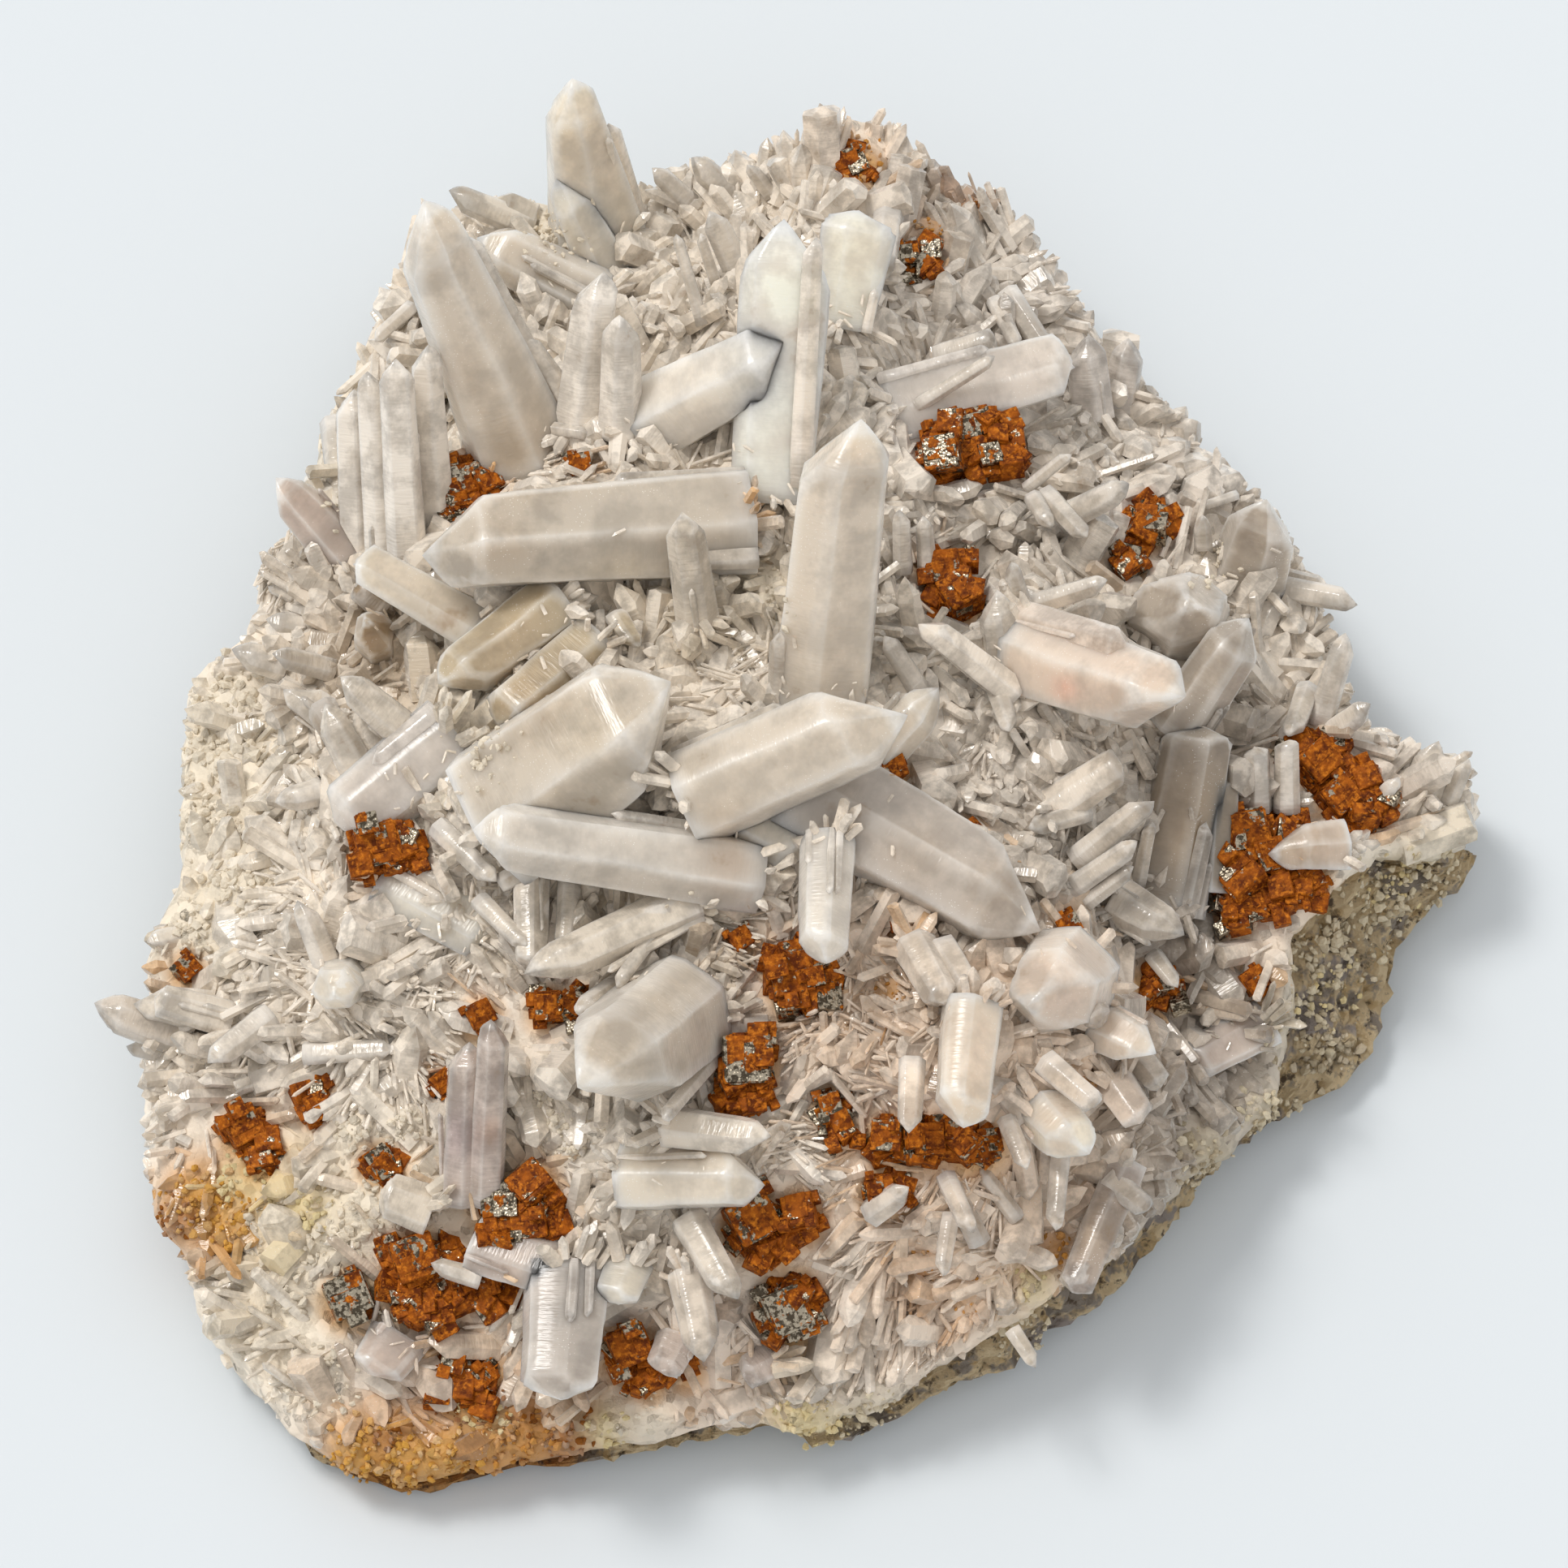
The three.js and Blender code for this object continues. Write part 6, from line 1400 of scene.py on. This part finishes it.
blocky = quartz_finish("blocky_quartz", 0.26, 0.0, 0.14, 0.3, 0.4, 0.85)
glassy = quartz_finish("glassy_quartz", 0.22, 0.0, 0.08, 0.2, 0.7, 0.88)
evenly = np.random.default_rng(30)
scatter("blocks", in_plan(3000, evenly), 21, blocky)
scatter("prisms", in_plan(3500, evenly), 22, blocky)
scatter("splinters", in_plan(4200, evenly), 24, glassy, slim=True)
scatter("needles", in_fields(6600, 31), 23, glassy, slim=True)

# The crystals round the roots of the great points: small prisms of the same milky quartz. They grew
# with the point, stand out from its root on all sides, and hide where it enters the crust.
CRYSTALS_PER_ROOT = 18
chance = np.random.default_rng(43)
butts = np.repeat(np.array(butts), CRYSTALS_PER_ROOT, 0)
axis, width_there = butts[:, 3:6], butts[:, 6:]
one_each = (len(butts), 1)
around = np.cross(axis, chance.normal(0, 1, axis.shape))
around /= np.linalg.norm(around, axis=1)[:, None]
rooted = butts[:, :3] + around * width_there * chance.uniform(0.05, 0.42, one_each)
rooted += axis * chance.uniform(-0.6, 0.9, one_each)
along = around * chance.uniform(0.3, 1, one_each) - axis * chance.uniform(0.1, 0.9, one_each)
along += [0, 0, 0.25]
along /= np.linalg.norm(along, axis=1)[:, None]
length = chance.uniform(1.6, 4.2, len(butts))
width = length * chance.uniform(0.2, 0.4, len(butts))
tip = rooted + along * length[:, None]
fits = clear_of_pyrite(tip, 0.4) & (tip[:, 2] > surface_height(*tip[:, :2].T) - 1)
crystals("root_crystals", rooted[fits], along[fits], length[fits], width[fits], chance, blocky)

# The rim, where the crust broke off the wall that it grew on: stubby crystals of the same quartz,
# which point outward from the broken edge.
RIM_CRYSTALS = 1300
RIM_ROOT = 0.968
RIM_END = 1.022
chance = np.random.default_rng(40)
around = chance.uniform(0, 2 * math.pi, RIM_CRYSTALS)
outward = np.column_stack([np.cos(around), np.sin(around), np.zeros(RIM_CRYSTALS)])
rooted = outward * (quartz_reach(around) * RIM_ROOT)[:, None]
low = underside(around, np.ones(RIM_CRYSTALS)) + 0.6
high = surface_height(*rooted[:, :2].T) - 0.5
rooted[:, 2] = low + (high - low) * chance.uniform(0, 1, RIM_CRYSTALS) ** 0.6
along = outward + chance.normal(0, 0.45, (RIM_CRYSTALS, 3)) + [0, 0, 0.15]
along /= np.linalg.norm(along, axis=1)[:, None]
length = chance.uniform(2.2, 3.9, RIM_CRYSTALS)
tip = rooted + along * length[:, None]
fits = np.hypot(*tip[:, :2].T) < quartz_reach(np.arctan2(tip[:, 1], tip[:, 0])) * RIM_END
fits &= tip[:, 2] > 1.5
width = chance.uniform(0.8, 2.3, RIM_CRYSTALS)
crystals("rim_crystals", rooted[fits], along[fits], length[fits], width[fits], chance, blocky)

# The overgrowth: small clear crystals that settled on the great points when these had nearly
# stopped growing. They lie along them, and most are near the roots.
OVERGROWTH = 420


def faces_of(*pieces):
    """Middle, outward direction and size of every face of some pieces."""
    middles, normals, areas = [], [], []
    for piece in pieces:
        count = len(piece.data.polygons)
        for rows, key, wide in ((middles, "center", 3), (normals, "normal", 3), (areas, "area", 1)):
            flat = np.zeros(count * wide, np.float32)
            piece.data.polygons.foreach_get(key, flat)
            rows.append(flat.reshape(count, wide).astype(float))
    return np.concatenate(middles) / MM, np.concatenate(normals), np.concatenate(areas)[:, 0]


middles, normals, areas = faces_of(great)
chance = np.random.default_rng(41)
above = middles[:, 2] - surface_height(*middles[:, :2].T)
shown = areas * (normals[:, 2] > 0.1) * (above > -0.5) * np.exp(-np.maximum(above, 0) / 1.6)
chosen = chance.choice(len(middles), OVERGROWTH, p=shown / shown.sum())
rooted, out = middles[chosen], normals[chosen]
along = np.cross(out, chance.normal(0, 1, (OVERGROWTH, 3)))
along = along / np.linalg.norm(along, axis=1)[:, None] + out * chance.uniform(-0.05, 0.5, (OVERGROWTH, 1))
along /= np.linalg.norm(along, axis=1)[:, None]
length = chance.uniform(0.4, 1.7, OVERGROWTH)
width = length * chance.uniform(0.22, 0.4, OVERGROWTH)
rooted = rooted - out * width[:, None] * 0.15
crystals("overgrowth", rooted, along, length, width, chance, glassy, slim=True)

# The crumbs: chalky cream powder of fine quartz, and yellow and rusty ochre, caked in the hollows,
# at the left rim and along the bottom edge, where the limonite soaked in.
CRUMB_KINDS = 8
POWDER_SWELLS = 1.5
POWDER_DEPTH = 2.5
chance = np.random.default_rng(42)
ground = corners_of(crust)
on_top = ground[:, 2] > surface_height(*ground[:, :2].T) - POWDER_DEPTH
displace(crust, POWDER_SWELLS * caked(ground) * on_top)
ball = bmesh.new()
bmesh.ops.create_icosphere(ball, subdivisions=1, radius=0.5)
ball_corners = np.array([corner.co for corner in ball.verts])
ball_faces = np.array([[corner.index for corner in face.verts] for face in ball.faces])
ball.free()
kinds = [ball_corners * chance.uniform(0.65, 1.35, (len(ball_corners), 1)) for _ in range(CRUMB_KINDS)]
middles, normals, areas = faces_of(crust, rock, great)
columns, rows = seen_at(middles)
to_eye = (EYE - middles) / np.linalg.norm(EYE - middles, axis=1)[:, None]
seen = (normals * to_eye).sum(1) > 0.1
crumbs = Growth()
for column, row, reach_px, count, tone, largest in CRUMB_FIELDS:
    near = near_spot(columns, rows, column, row, reach_px**2 / 2) * areas * seen
    near[near < near.max() * 0.02] = 0
    for place_index in chance.choice(len(middles), count, p=near / near.sum()):
        size = largest * chance.uniform(0.3, 1) ** 1.5
        turn = turned_by(*chance.uniform(0, 2 * math.pi, 3))
        body = kinds[chance.integers(CRUMB_KINDS)] * chance.uniform(0.6, 1.2, 3) * size @ turn
        middle = middles[place_index] + chance.normal(0, 0.25, 3) + normals[place_index] * size * 0.05
        own = np.array(tone) + (np.array(CHALK) - tone) * chance.uniform(0, 0.6) ** 2
        own = own * chance.uniform(0.8, 1.0)
        crumbs.add(body + middle, ball_faces, body + chance.uniform(0, 60), own, np.zeros(len(body)))

chalky, chalky_shader = new_material("caked_powder", {"Roughness": 0.9, "Specular IOR Level": 0.2})
dusting = {"Vector": grown_in(chalky, "grain", "Vector"), "Scale": 2.2, "Detail": 5, "Roughness": 0.7}
dust = wired(chalky, "TexNoise", dusting).outputs["Fac"]
dusted = dimmed(chalky, grown_in(chalky, "tone", "Color"), spread(chalky, dust, 0.35, 0.6, 0.86, 1.0))
link(chalky, dusted, chalky_shader.inputs["Base Color"])
embossed(chalky, chalky_shader, dust, 0.8, 0.0004)
finish_piece(crumbs.piece("caked_crumbs"), chalky, "rock", "quartz_cluster")
